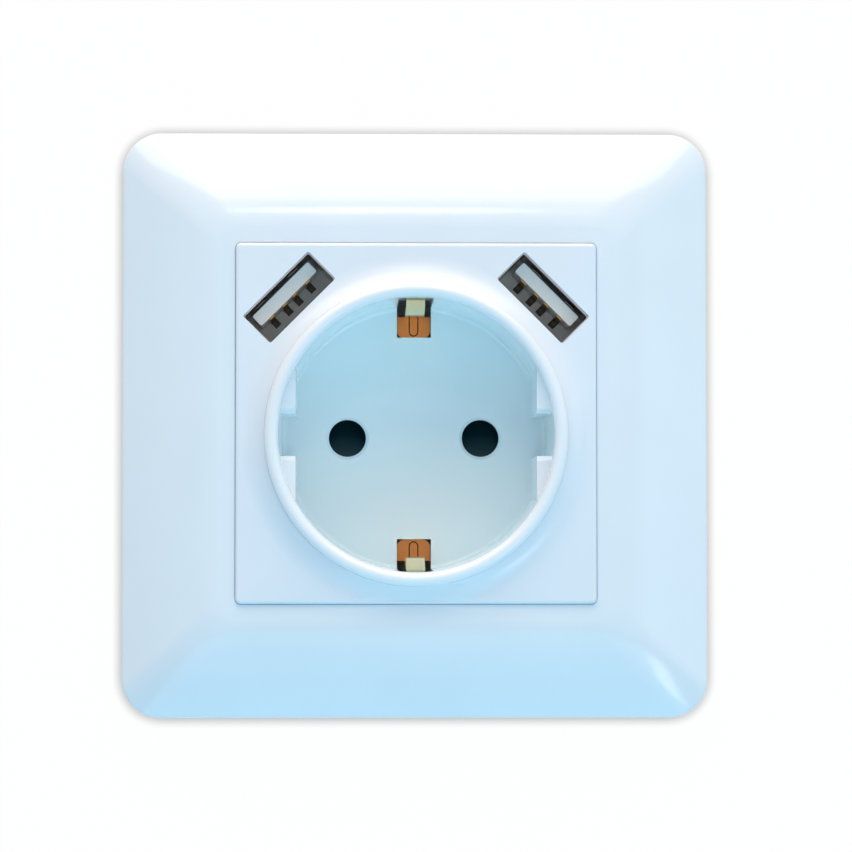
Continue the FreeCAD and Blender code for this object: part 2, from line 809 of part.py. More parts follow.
def base_housing():
    """Moulded block behind the ring: it carries contacts, terminals, shutter and charger."""
    body = new_body("base_housing")
    flange = front_sketch(body, "flange", 0)
    disc(flange, S.flange_radius)
    pad(body, flange, S.flange_depth)
    trims = front_sketch(body, "trims", 0)
    far = S.flange_radius + 1
    box(trims, -far, far, S.flange_flat, far)
    box(trims, -far, far, -far, -S.flange_flat)
    pocket(body, trims, S.flange_depth)
    barrel = front_sketch(body, "barrel", S.flange_depth)
    disc(barrel, S.housing_radius)
    pad(body, barrel, S.housing_depth - S.flange_depth)
    side_flats(body, "side_flats", 0, S.housing_depth)

    cup = front_sketch(body, "cup", 0)
    disc(cup, well_outer + S.slip_gap, 0, well_up)
    pocket(body, cup, floor_back)

    board = front_sketch(body, "board", 0)
    reach = S.usb_board_radius + S.slip_gap
    low = circle_at(reach, S.usb_board_bottom - S.slip_gap)
    top = S.flange_flat - S.cavity_wall / 2
    high = circle_at(reach, top)
    bottom = S.usb_board_bottom - S.slip_gap
    outline(board, [(-low, bottom), (low, bottom), (high, top), (-high, top)], arcs={1: reach, 3: reach})
    pocket(body, board, usb_board_back)

    shutter = front_sketch(body, "shutter", floor_back)
    half = S.shutter_width / 2 + S.slip_gap
    high = well_up + S.shutter_height / 2 + S.slip_gap
    low = well_up - S.shutter_height / 2 - spring_length
    box(shutter, -half, half, low, high)
    pocket(body, shutter, shutter_floor - floor_back)

    earth = front_sketch(body, "earth", floor_back)
    earth_half = S.earth_width / 2 + S.slip_gap
    reach = well_outer - S.slip_gap
    box(earth, -earth_half, earth_half, well_up - reach, well_up + reach)
    pocket(body, earth, shutter_floor + S.strip - floor_back)

    cavity = front_sketch(body, "cavity", S.housing_depth)
    cavity_outline(cavity, as_size(0))
    pocket(body, cavity, S.cavity_depth, inwards=False)
    ledge = front_sketch(body, "ledge", S.housing_depth)
    cavity_outline(ledge, S.board_ledge)
    pocket(body, ledge, S.board_thickness + S.slip_gap, inwards=False)

    row = front_sketch(body, "pin_row", usb_board_back)
    row_half = S.pin_row_pitch * 1.5 + S.pin_row_size
    box(row, -row_half, row_half, S.pin_row_up - S.pin_row_size, S.pin_row_up + S.pin_row_size)
    pocket(body, row, cavity_front - usb_board_back)

    channels = front_sketch(body, "channels", S.housing_depth)
    contact_half = S.contact_height / 2 + S.slip_gap + S.contact_room
    channel_half = S.pin_radius - S.contact_grip + S.pin_strip + S.contact_splay + S.slip_gap * 2
    for side in (-1, 1):
        middle = S.pin_pitch / 2 * side
        ends = (middle - channel_half, middle + channel_half)
        box(channels, ends[0], ends[1], well_up - contact_half, well_up + contact_half)
    pocket(body, channels, S.housing_depth - S.contact_front, inwards=False)
    entries = front_sketch(body, "entries", shutter_floor)
    for side in (-1, 1):
        disc(entries, S.pin_hole_radius + S.slip_gap, S.pin_pitch / 2 * side, well_up)
    pocket(body, entries, S.contact_front - shutter_floor)

    terminals = front_sketch(body, "terminals", S.housing_depth)
    room = S.terminal_size / 2 + S.slip_gap
    for place in (-1, 0, 1):
        middle = S.terminal_pitch * place
        box(terminals, middle - room, middle + room, S.terminal_up - room, S.terminal_up + room)
    pocket(body, terminals, S.housing_depth - terminal_front, inwards=False)

    tails = front_sketch(body, "tails", S.housing_depth)
    tail_half = S.tail_width / 2 + S.slip_gap
    for side in (-1, 1):
        middle = S.terminal_pitch * side
        box(tails, middle - tail_half, middle + tail_half, S.terminal_up, well_up - S.contact_height / 2)
    pocket(body, tails, S.housing_depth - terminal_front + S.pin_strip + S.slip_gap, inwards=False)
    earth_tail = front_sketch(body, "earth_tail", shutter_floor)
    tail_half = S.clip_width / 2 + S.slip_gap
    box(earth_tail, -tail_half, tail_half, tail_top - S.strip - S.slip_gap, tail_top + S.slip_gap)
    pocket(body, earth_tail, terminal_front - shutter_floor)

    screws = plan_sketch(body, "screws", -S.housing_radius)
    for place in (-1, 0, 1):
        disc(screws, S.tester_slot, S.terminal_pitch * place, terminal_middle)
    pocket(body, screws, S.housing_radius + S.terminal_up, inwards=False)
    pilots = front_sketch(body, "pilots", S.housing_depth)
    for side in (-1, 1):
        disc(pilots, S.cover_screw_radius + S.run_gap, S.cover_screw_across * side, S.cover_screw_up)
    pocket(body, pilots, S.cover_screw_length, inwards=False)
    rivets = front_sketch(body, "rivets", 0)
    rivet_holes(rivets)
    pocket(body, rivets, S.ring_thickness * 2 + S.run_gap)
    return body


def rear_cover():
    """Flat cover over the back of the housing, with wire entries, vents and screw holes."""
    body = new_body("rear_cover")
    plate = front_sketch(body, "plate", S.housing_depth)
    disc(plate, S.housing_radius)
    pad(body, plate, S.cover_thickness)
    soften(body, "Fillet", S.cover_edge, lambda edge: lies_at(edge, cover_back))
    side_flats(body, "side_flats", S.housing_depth, S.cover_thickness)
    holes = front_sketch(body, "holes", S.housing_depth)
    for place in (-1, 0, 1):
        disc(holes, S.wire_hole_radius, S.terminal_pitch * place, S.terminal_up)
    for side in (-1, 1):
        disc(holes, S.cover_screw_radius + S.run_gap * 2, S.cover_screw_across * side, S.cover_screw_up)
    pocket(body, holes, S.cover_thickness)
    vents = front_sketch(body, "vents", S.housing_depth)
    slot_end = S.vent_height / 2 - 0.05
    for row in range(SIZES["vent_count"]):
        round_box(vents, S.vent_width / 2, S.vent_height / 2, slot_end, 0, S.vent_up + S.vent_pitch * row)
    pocket(body, vents, S.cover_thickness)
    return body


def turned(label, profile, arcs=None, hollows=None):
    """A turned piece about the depth axis; the profile is in radius and depth."""
    body = new_body(label)
    sketch = plan_sketch(body, "profile")
    outline(sketch, profile, arcs, hollows)
    turn(body, sketch)
    return body


def group(label, seed, spots):
    """Several like pieces in one node, copied from a seed piece."""
    document.recompute()
    shapes = []
    for spot in spots:
        place = [as_size(value).value for value in spot]
        copy = seed.Shape.copy()
        copy.translate(FreeCAD.Vector(*place))
        shapes.append(copy)
    item = document.addObject("Part::Feature", label)
    item.Label = label
    item.Shape = Part.makeCompound(shapes)
    return item


def strap_rivets():
    """Four rivets that hold the housing's flange to the ring."""
    seed = turned(
        "rivet_seed",
        [
            (0, ring_front - S.rivet_head_height),
            (S.rivet_head, ring_front - S.rivet_head_height),
            (S.rivet_head, ring_front),
            (S.rivet_radius, ring_front),
            (S.rivet_radius, S.ring_thickness * 2),
            (0, S.ring_thickness * 2),
        ],
    )
    spots = []
    for side in (-1, 1):
        spots.append((S.upper_rivet_across * side, 0, S.upper_rivet_up))
        spots.append((S.lower_rivet_across * side, 0, S.lower_rivet_up))
    return group("strap_rivets", seed, spots)


def pin_shutter():
    """Sliding shutter bar: two pins that press its slope together push it down."""
    body = new_body("pin_shutter")
    profile = side_sketch(body, "profile")
    half = S.shutter_height / 2
    outline(
        profile,
        [
            (shutter_front, well_up - half),
            (shutter_back, well_up - half),
            (shutter_back, well_up + half),
            (shutter_back - S.shutter_lip, well_up + half),
            (shutter_front, well_up - half + S.shutter_ridge),
        ],
    )
    pad(body, profile, S.shutter_width, both=True)
    return body


def shutter_spring(side, name):
    """Coil spring between the shutter's lower edge and the pocket's floor."""
    body = new_body(f"{name}_shutter_spring")
    profile = sketch_on(body, "coil", "XZ_Plane", as_size(0))
    disc(profile, S.spring_wire, S.spring_radius, S.spring_wire)
    coil = feature(body, "AdditiveHelix", profile)
    coil.Mode = 0
    coil.ReferenceAxis = (profile, ["V_Axis"])
    rise = spring_length - S.spring_wire * 2
    bind(coil, "Pitch", rise / S.spring_turns)
    bind(coil, "Height", rise)
    document.recompute()
    low = well_up - S.shutter_height / 2 - spring_length
    move(body, S.spring_across * side, (shutter_front + shutter_back) / 2, low)
    return body


def pin_contact(side, name):
    """Folded brass contact: two leaves round the pin, a base, and a tail that enters the clamp."""
    body = new_body(name)
    middle = S.pin_pitch / 2 * side
    half = S.contact_height / 2
    sheet = S.pin_strip
    leaf = S.pin_radius - S.contact_grip
    base = front_sketch(body, "base", contact_back - sheet)
    box(base, middle - leaf - sheet, middle + leaf + sheet, well_up - half, well_up + half)
    pad(body, base, sheet)
    leaves = plan_sketch(body, "leaves", well_up)
    front = S.contact_front + S.slip_gap
    waist = front + S.contact_mouth
    root_depth = contact_back - sheet
    for way in (-1, 1):
        face = [
            (middle + (leaf + S.contact_splay) * way, front),
            (middle + (leaf + sheet + S.contact_splay) * way, front),
            (middle + (leaf + sheet) * way, waist),
            (middle + (leaf + sheet) * way, root_depth),
            (middle + leaf * way, root_depth),
            (middle + leaf * way, waist),
        ]
        outline(leaves, face if way > 0 else face[::-1])
    pad(body, leaves, S.contact_height, both=True)
    tail_middle = S.terminal_pitch * side
    tail_half = S.tail_width / 2
    drop = front_sketch(body, "drop", terminal_front - sheet)
    box(drop, tail_middle - tail_half, tail_middle + tail_half, tail_top - sheet, well_up - half)
    pad(body, drop, sheet)
    tail = front_sketch(body, "tail", terminal_front)
    box(tail, tail_middle - tail_half, tail_middle + tail_half, tail_top - sheet, tail_top)
    pad(body, tail, S.tail_length)
    return body


def earth_bracket():
    """One copper-alloy strip: it runs behind the floor and rises as a spring clip in each window."""
    body = new_body("earth_bracket")
    sheet = S.strip
    back = shutter_floor + sheet
    seat = floor_back + S.slip_gap
    knee = S.window_inner - S.clip_start
    wall = S.well_radius
    tip = lip_face + S.window_setback + S.clip_tip
    bow = wall - S.clip_bow
    middle = floor_face - S.clip_reach
    profile = side_sketch(body, "profile")
    bind(profile, "AttachmentOffset.Base.y", well_up)
    inner = [
        (shutter_floor, knee - sheet),
        (seat, knee),
        (seat, wall - sheet - S.slip_gap),
        (middle + S.clip_half, bow + S.clip_lean),
        (middle, bow),
        (middle - S.clip_half, bow + S.clip_lean),
        (tip, wall),
    ]
    outer = [
        (tip + sheet / 2, wall + sheet),
        (middle - S.clip_half, bow + sheet + S.clip_lean),
        (middle, bow + sheet),
        (middle + S.clip_half, bow + sheet + S.clip_lean),
        (seat + sheet, wall + sheet / 2),
        (seat + sheet, knee + sheet),
        (back, knee),
    ]
    upper = inner + outer
    lower = [(depth, -up) for depth, up in reversed(upper)]
    outline(profile, upper + lower)
    pad(body, profile, S.earth_width, both=True)

    far = well_outer + 2
    shoulder = S.window_inner + S.clip_shoulder
    sides = front_sketch(body, "sides", tip - 1)
    bind(sides, "AttachmentOffset.Base.y", well_up)
    clip = S.clip_width / 2
    edge = S.earth_width / 2 + 1
    round_off = S.clip_round
    for way in (-1, 1):
        for level in (-1, 1):
            corners = [
                (clip * way, shoulder * level),
                ((S.earth_width / 2 - round_off) * way, shoulder * level),
                (S.earth_width / 2 * way, (shoulder - round_off) * level),
                (edge * way, (shoulder - round_off) * level),
                (edge * way, far * level),
                (clip * way, far * level),
            ]
            if way * level > 0:
                outline(sides, corners, hollows={1: round_off})
            else:
                turned_over = corners[::-1]
                outline(sides, turned_over, hollows={3: round_off})
    pocket(body, sides, back - tip + 2)

    waist = front_sketch(body, "waist", seat - 1)
    bind(waist, "AttachmentOffset.Base.y", well_up)
    half = S.earth_middle / 2
    reach = knee - 1
    box(waist, half, edge, -reach, reach)
    box(waist, -edge, -half, -reach, reach)
    pocket(body, waist, back - seat + 2)

    tail = front_sketch(body, "tail", shutter_floor)
    box(tail, -clip, clip, tail_top - sheet, tail_top)
    pad(body, tail, terminal_front + S.tail_length - shutter_floor)

    slits = front_sketch(body, "slits", seat)
    bind(slits, "AttachmentOffset.Base.y", well_up)
    slit = S.clip_slit
    tongue = S.clip_tongue / 2
    start = shoulder - S.clip_round
    for level in (-1, 1):
        head = S.window_inner + S.slip_gap
        corners = [
            (-tongue - slit, start * level),
            (-tongue - slit, head * level),
            (tongue + slit, head * level),
            (tongue + slit, start * level),
            (tongue, start * level),
            (tongue, (head + slit) * level),
            (-tongue, (head + slit) * level),
            (-tongue, start * level),
        ]
        outline(slits, corners[::-1] if level < 0 else corners)
    pocket(body, slits, sheet)
    return body


def terminal_clamp(place, name):
    """Square brass clamp with a wire hole and a screw hole below."""
    body = new_body(name)
    size = S.terminal_size / 2
    inside = size - S.terminal_wall
    middle = S.terminal_pitch * place
    tube = front_sketch(body, "tube", terminal_back)
    round_box(tube, size, size, S.terminal_corner, middle, S.terminal_up)
    pad(body, tube, S.terminal_length, inwards=False)
    hole = front_sketch(body, "hole", terminal_back)
    round_box(hole, inside, inside, S.terminal_corner / 2, middle, S.terminal_up)
    pocket(body, hole, S.terminal_length, inwards=False)
    screw = plan_sketch(body, "screw", S.terminal_up - S.terminal_size)
    disc(screw, S.terminal_screw_radius + S.run_gap, middle, terminal_middle)
    pocket(body, screw, S.terminal_size, inwards=False)
    return body


def terminal_screws():
    """Three clamp screws, driven from below."""
    head_top = S.terminal_up - S.terminal_size / 2 - S.slip_gap
    head_low = head_top - S.terminal_screw_rise
    seed = new_body("terminal_screw_seed")
    sketch = front_sketch(seed, "profile", 0)
    tip = S.terminal_up - S.slip_gap
    outline(
        sketch,
        [
            (0, head_low),
            (S.terminal_screw_head - S.slip_gap, head_low),
            (S.terminal_screw_head, head_low + S.slip_gap),
            (S.terminal_screw_head, head_top),
            (S.terminal_screw_radius, head_top),
            (S.terminal_screw_radius, tip),
            (0, tip),
        ],
    )
    turn(seed, sketch)
    slot = front_sketch(seed, "slot", -S.terminal_size)
    half = S.terminal_screw_slot / 2
    box(slot, -half, half, head_low - 1, head_low + S.terminal_screw_rise / 2)
    pocket(seed, slot, S.terminal_size * 2)
    spots = [(S.terminal_pitch * place, terminal_middle, 0) for place in (-1, 0, 1)]
    return group("terminal_screws", seed, spots)


def cover_screws():
    """Two pan-head screws with a cross slot, through the rear cover."""
    tip = cover_back - S.cover_screw_length
    head_back = cover_back + S.cover_screw_rise
    seed = turned(
        "cover_screw_seed",
        [
            (0, tip),
            (S.cover_screw_radius, tip),
            (S.cover_screw_radius, cover_back),
            (S.cover_screw_head, cover_back),
            (S.cover_screw_head, head_back - S.cover_screw_slot),
            (S.cover_screw_head - S.cover_screw_slot, head_back),
            (0, head_back),
        ],
    )
    slot = front_sketch(seed, "slot", head_back)
    half = S.cover_screw_slot / 2
    reach = S.cover_screw_head - S.cover_screw_bite
    box(slot, -reach, reach, -half, half)
    box(slot, -half, half, -reach, -half)
    box(slot, -half, half, half, reach)
    pocket(seed, slot, S.cover_screw_bite, inwards=False)
    spots = [(S.cover_screw_across * side, 0, S.cover_screw_up) for side in (-1, 1)]
    return group("cover_screws", seed, spots)


def claw_screw(side, name):
    """Long screw whose tip pushes the claw's short arm."""
    face = ring_front - S.claw_screw_rise
    bevel = S.claw_screw_slot / 2
    body = turned(
        name,
        [
            (0, face),
            (S.claw_screw_head - bevel, face),
            (S.claw_screw_head, face + bevel),
            (S.claw_screw_head, ring_front),
            (S.claw_screw_radius, ring_front),
            (S.claw_screw_radius, S.claw_screw_length - bevel),
            (S.claw_screw_radius - bevel, S.claw_screw_length),
            (0, S.claw_screw_length),
        ],
    )
    slot = front_sketch(body, "slot", face)
    box(slot, -S.claw_screw_head * 2, S.claw_screw_head * 2, -bevel, bevel)
    pocket(body, slot, S.claw_screw_rise / 2)
    move(body, S.claw_screw_across * side)
    return body


def spreading_claw(side, name):
    """Bent steel claw on its hinge: a short arm in front of the screw and a toothed long arm."""
    body = new_body(name)
    across = S.claw_pivot_across
    depth = S.claw_pivot_depth
    half = S.claw_strip / 2
    end = depth + S.claw_length
    inner = S.claw_screw_across - S.claw_screw_radius
    tooth = S.claw_tooth
    step = S.claw_tooth_pitch
    arm = plan_sketch(body, "arm")
    corners = [
        (inner, depth - half),
        (across + half, depth - half),
        (across + half, end - step * 2),
        (across + half + tooth, end - step * 1.5),
        (across + half, end - step),
        (across + half + tooth, end),
        (across - half, end),
        (across - half, depth + half),
        (inner, depth + half),
    ]
    if side < 0:
        corners = [(-a, d) for a, d in reversed(corners)]
    outline(arm, corners)
    pad(body, arm, S.claw_width, both=True)
    knuckle = plan_sketch(body, "knuckle")
    disc(knuckle, S.claw_knuckle, across * side, depth)
    pad(body, knuckle, S.claw_width, both=True)
    bore = plan_sketch(body, "bore")
    disc(bore, S.claw_pin_radius + S.run_gap, across * side, depth)
    pocket(body, bore, S.claw_width, both=True)
    relief = side_sketch(body, "relief")
    long_half = S.claw_relief_length / 2
    wide_half = S.claw_relief_width / 2
    round_box(relief, long_half, wide_half, wide_half * 0.75, depth + S.claw_relief_depth)
    pocket(body, relief, S.flange_radius * 2, both=True)
    return body


def claw_pin(side, name):
    """Hinge pin through the ring's ears and the claw's knuckle."""
    body = new_body(name)
    ear_out = S.claw_width / 2 + S.ear_gap + S.ring_thickness
    sketch = front_sketch(body, "profile", 0)
    radius = S.claw_pin_radius
    outline(
        sketch,
        [
            (0, -ear_out - S.claw_pin_rim),
            (radius, -ear_out - S.claw_pin_rim),
            (radius, ear_out),
            (radius + S.claw_pin_rim, ear_out),
            (radius + S.claw_pin_rim, ear_out + S.claw_pin_rim),
            (0, ear_out + S.claw_pin_rim),
        ],
    )
    turn(body, sketch)
    move(body, S.claw_pivot_across * side, S.claw_pivot_depth, 0)
    return body


def tilt(body, side):
    """Set an outlet's piece at its slant in its corner of the plate."""
    axis = FreeCAD.Vector(0, -1, 0)
    angle = S.usb_tilt * -side
    spot = FreeCAD.Vector(S.usb_across.value * side, 0, S.usb_up.value)
    body.Placement = FreeCAD.Placement(spot, FreeCAD.Rotation(axis, angle.value))
    bind(body, "Placement.Base.x", S.usb_across * side)
    bind(body, "Placement.Base.z", S.usb_up)


def usb_shell(side, name):
    """Folded steel shell of an outlet, with two spring windows in each long wall."""
    body = new_body(f"{name}_usb_shell")
    wide = S.usb_width / 2
    high = S.usb_height / 2
    wall = S.usb_wall
    tube = front_sketch(body, "tube", usb_front)
    round_box(tube, wide + wall, high + wall, S.usb_corner + wall)
    pad(body, tube, S.usb_length)
    bore = front_sketch(body, "bore", usb_front)
    round_box(bore, wide, high, S.usb_corner)
    pocket(body, bore, S.usb_length)
    springs = plan_sketch(body, "springs")
    for way in (-1, 1):
        middle = S.usb_spring_across * way
        half = S.usb_spring_width / 2
        start = usb_front + S.usb_spring_setback
        box(springs, middle - half, middle + half, start, start + S.usb_spring_length)
    pocket(body, springs, S.usb_height * 2, both=True)
    tilt(body, side)
    return body


def usb_insulator(side, name):
    """Moulded insulator: a block at the back of the shell and the tongue that carries the contacts."""
    body = new_body(f"{name}_usb_insulator")
    wide = S.usb_width / 2
    high = S.usb_height / 2
    block = front_sketch(body, "block", usb_front + S.usb_back)
    round_box(block, wide, high, S.usb_corner)
    pad(body, block, S.usb_length - S.usb_back)
    tongue = front_sketch(body, "tongue", usb_front + S.tongue_setback)
    middle = high - S.tongue_gap - S.tongue_height / 2
    round_box(tongue, S.tongue_width / 2, S.tongue_height / 2, S.usb_corner, 0, middle)
    pad(body, tongue, S.usb_back - S.tongue_setback + S.usb_corner)
    slots = front_sketch(body, "slots", usb_front + S.usb_back)
    under = high - S.tongue_gap - S.tongue_height
    for offset in contact_offsets():
        left = offset - S.usb_contact_width / 2
        box(slots, left, left + S.usb_contact_width, under - S.usb_contact_room, under)
    pocket(body, slots, S.usb_contact_room)
    tilt(body, side)
    return body


def contact_offsets():
    return [-S.usb_contact_outer, -S.usb_contact_inner, S.usb_contact_inner, S.usb_contact_outer]


def usb_contacts(side, name):
    """Four contact strips on the tongue's inner face."""
    strips = []
    under = S.usb_height / 2 - S.tongue_gap - S.tongue_height
    sheet = S.usb_contact_strip
    width = S.usb_contact_width - S.run_gap * 2
    front = usb_front + S.tongue_setback + S.usb_contact_tip
    length = usb_front + S.usb_back + S.usb_contact_room - front
    for offset in contact_offsets():
        corner = FreeCAD.Vector((offset - width / 2).value, front.value, (under - sheet).value)
        strips.append(Part.makeBox(width.value, length.value, sheet.value, corner))
    item = document.addObject("Part::Feature", f"{name}_usb_contacts")
    item.Label = f"{name}_usb_contacts"
    item.Shape = Part.makeCompound(strips)
    tilt(item, side)
    return item


def usb_board():
    """Crescent board over the well, which carries both outlets."""
    body = new_body("usb_board")
    outer = S.usb_board_radius
    bottom = S.usb_board_bottom
    top = S.flange_flat - S.cavity_wall / 2 - S.slip_gap
    inner = well_outer + S.slip_gap * 2
    low = circle_at(outer, bottom)
    high = circle_at(outer, top)
    rise = bottom - well_up
    notch = circle_at(inner, rise)
    board = front_sketch(body, "outline", usb_end)
    outline(
        board,
        [(notch, bottom), (low, bottom), (high, top), (-high, top), (-low, bottom), (-notch, bottom)],
        arcs={1: outer, 3: outer},
        hollows={5: inner},
    )
    pad(body, board, S.usb_board_thickness)
    return body


def charger_board():
    """Power board in the housing's rear cavity, resting on the ledge."""
    body = new_body("charger_board")
    board = front_sketch(body, "outline", board_front)
    cavity_outline(board, S.board_ledge - S.slip_gap / 2)
    pad(body, board, S.board_thickness)
    return body


def header_pins():
    """Four pins that join the two boards."""
    seed = new_body("header_pin_seed")
    half = S.pin_row_size / 2
    profile = front_sketch(seed, "profile", usb_board_back)
    box(profile, -half, half, -half, half)
    pad(seed, profile, board_front - usb_board_back)
    spots = [(S.pin_row_pitch * (place - 1.5), 0, S.pin_row_up) for place in range(4)]
    return group("header_pins", seed, spots)


def capacitor(name, radius, length, across):
    """Electrolytic can standing on the power board, with its rolled groove."""
    top = board_front - length
    groove = board_front - S.can_foot
    body = turned(
        name,
        [
            (0, top),
            (radius - S.can_edge, top),
            (radius, top + S.can_edge),
            (radius, groove - S.can_groove),
            (radius - S.can_groove, groove),
            (radius, groove + S.can_groove),
            (radius, board_front),
            (0, board_front),
        ],
    )
    move(body, across, 0, S.cavity_bottom + S.can_rise + S.input_can_radius)
    return body


def transformer():
    """Ferrite core of the charger's transformer, and the bobbin with its winding."""
    across = S.core_across
    up = S.cavity_bottom + S.slip_gap * 2 + S.coil_height / 2
    foot = board_front - S.core_stand
    core = new_body("transformer_core")
    yoke = front_sketch(core, "yoke", foot)
    round_box(yoke, S.core_width / 2, S.core_height / 2, S.slip_gap, across, up)
    pad(core, yoke, S.core_length, inwards=False)
    room = front_sketch(core, "room", foot - S.core_leg)
    coil_room = S.core_length - S.core_leg * 2
    inside = S.core_width / 2 - S.core_leg
    for side in (-1, 1):
        ends = sorted((S.coil_middle / 2 * side, inside * side), key=lambda size: size.value)
        box(room, across + ends[0], across + ends[1], up - S.core_height, up + S.core_height)
    pocket(core, room, coil_room, inwards=False)

    bobbin = new_body("transformer_bobbin")
    start = foot - S.core_leg - (coil_room - S.coil_length) / 2
    coil = front_sketch(bobbin, "coil", start)
    round_box(coil, S.coil_width / 2, S.coil_height / 2, S.coil_middle / 2, across, up)
    pad(bobbin, coil, S.coil_length, inwards=False)
    hole = front_sketch(bobbin, "hole", start)
    middle = S.coil_middle / 2
    leg = S.core_height / 2 + S.run_gap
    box(hole, across - middle, across + middle, up - leg, up + leg)
    pocket(bobbin, hole, S.coil_length, inwards=False)
    feet = front_sketch(bobbin, "feet", board_front)
    foot_half = S.coil_width / 2 - S.slip_gap
    for level in (-1, 1):
        edges = sorted((leg * level, S.coil_height / 2 * level), key=lambda size: size.value)
        box(feet, across - foot_half, across + foot_half, up + edges[0], up + edges[1])
    pad(bobbin, feet, board_front - start, inwards=False)
    return [core, bobbin]


def controller_chip():
    body = new_body("controller_chip")
    case = front_sketch(body, "case", board_front)
    up = S.cavity_bottom + S.can_rise + S.chip_height / 2
    round_box(case, S.chip_width / 2, S.chip_height / 2, S.slip_gap / 2, S.chip_across, up)
    pad(body, case, S.chip_depth, inwards=False)
    return body


SIDES = ((-1, "left"), (1, "right"))
pieces = [cover_frame(), centre_plate(), socket_well(), support_ring(), base_housing(), rear_cover()]
pieces += [strap_rivets(), pin_shutter(), earth_bracket(), usb_board(), charger_board(), header_pins()]
pieces += [terminal_screws(), cover_screws(), controller_chip()]
pieces += transformer()
pieces.append(pin_contact(-1, "live_contact"))
pieces.append(pin_contact(1, "neutral_contact"))
for place, name in ((-1, "live_clamp"), (0, "earth_clamp"), (1, "neutral_clamp")):
    pieces.append(terminal_clamp(place, name))
pieces.append(capacitor("input_capacitor", S.input_can_radius, S.input_can_length, S.input_can_across))
pieces.append(capacitor("output_capacitor", S.output_can_radius, S.output_can_length, S.output_can_across))
for side, name in SIDES:
    pieces.append(shutter_spring(side, name))
    pieces.append(spreading_claw(side, f"{name}_claw"))
    pieces.append(claw_pin(side, f"{name}_claw_pin"))
    pieces.append(claw_screw(side, f"{name}_claw_screw"))
    pieces.append(usb_shell(side, name))
    pieces.append(usb_insulator(side, name))
    pieces.append(usb_contacts(side, name))

document.recompute()
for item in document.Objects:
    if "Invalid" in item.State or "Error" in item.State:
        raise RuntimeError(f"{item.Name} has failed")
os.makedirs("parts", exist_ok=True)
for piece in pieces:
    if piece.Shape.isNull() or not piece.Shape.isValid():
        raise RuntimeError(f"{piece.Label} has no sound shape")
    piece.Shape.exportStep(f"parts/{piece.Label}.step")
    print(piece.Label, len(piece.Shape.Solids), round(piece.Shape.Volume, 2))
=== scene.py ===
import math

import bmesh
import bpy
from mathutils import Matrix, Vector


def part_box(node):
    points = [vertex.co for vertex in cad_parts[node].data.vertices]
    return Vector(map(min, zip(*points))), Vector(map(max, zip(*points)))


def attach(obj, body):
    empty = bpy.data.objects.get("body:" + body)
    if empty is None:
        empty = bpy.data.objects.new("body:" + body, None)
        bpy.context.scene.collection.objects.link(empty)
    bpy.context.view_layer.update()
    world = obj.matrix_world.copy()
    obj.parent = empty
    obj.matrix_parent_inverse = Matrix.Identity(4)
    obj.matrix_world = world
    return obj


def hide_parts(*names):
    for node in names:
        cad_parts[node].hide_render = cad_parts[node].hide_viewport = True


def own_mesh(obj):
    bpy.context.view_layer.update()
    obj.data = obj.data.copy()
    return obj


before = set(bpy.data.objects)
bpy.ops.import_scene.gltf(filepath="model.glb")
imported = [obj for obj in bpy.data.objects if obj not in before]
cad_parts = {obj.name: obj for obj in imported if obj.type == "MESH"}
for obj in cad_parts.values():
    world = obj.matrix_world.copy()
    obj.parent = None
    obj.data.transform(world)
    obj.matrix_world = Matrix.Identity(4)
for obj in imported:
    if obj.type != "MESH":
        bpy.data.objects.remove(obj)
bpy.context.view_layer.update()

# The frame's own materials step aside, so that the finishes made here keep plain names.
for old in list(bpy.data.materials):
    old.name = "cad_" + old.name

# Camera
# The picture is taken from nearly half a metre off, a little below and to the left of the socket's
# middle. The lens is shifted by some of the picture's pixels, so that the frame lands left of its middle.
MM = 0.001
PICTURE = 852.0
EYE = Vector((-10.3, -455.0, -17.5)) * MM
AIM = Vector((0.0, -4.0, 0.0)) * MM
LENS = 136.3
NEAR_CLIP = 10.0 * MM
MIDDLE_LEFT = 10.6
MIDDLE_UP = 1.5

lens = bpy.data.cameras.new("photo_camera")
lens.lens = LENS
lens.clip_start = NEAR_CLIP
lens.shift_x = MIDDLE_LEFT / PICTURE
lens.shift_y = -MIDDLE_UP / PICTURE
camera = bpy.data.objects.new("photo_camera", lens)
camera.location = EYE
camera.rotation_euler = (AIM - EYE).to_track_quat("-Z", "Y").to_euler()
bpy.context.scene.collection.objects.link(camera)
bpy.context.scene.camera = camera
bpy.context.scene.view_settings.view_transform = "Standard"

# Studio
# The socket sits on a plain white panel, as on a wall; its glow dims by occlusion round the frame, a
# painted soft shadow. A warm lamp stands high, a cool one low, weak ones at the sides and one behind. Two
# small ones only show as reflections: a thin line on the upper slope and a pane in the lower right
# corner.
PANEL_HALF = 75.0 * MM
PANEL_CORNER = 40.0 * MM
HOLE_HALF = 40.7 * MM
HOLE_CORNER = 5.1 * MM
PANEL_GAP = 0.3 * MM
PANEL_COLOR = (0.88, 0.88, 0.88, 1.0)
PANEL_ROUGHNESS = 0.9
PANEL_GLOW = 0.97
CORNER_STEPS = 12
SHADOW_REACH = 1.7 * MM
SHADOW_SAMPLES = 12
SKY = (0.80, 0.92, 1.0, 1.0)
SKY_LEVEL = 0.43
WHITE = (1.0, 1.0, 1.0, 1.0)


def seen_directly(tree):
    """One where the picture, a reflection or glass looks straight at the background, else nought."""
    path = tree.nodes.new("ShaderNodeLightPath")
    total = path.outputs["Is Camera Ray"]
    for ray in ("Is Glossy Ray", "Is Transmission Ray"):
        either = tree.nodes.new("ShaderNodeMath")
        either.operation = "MAXIMUM"
        tree.links.new(total, either.inputs[0])
        tree.links.new(path.outputs[ray], either.inputs[1])
        total = either.outputs[0]
    return total


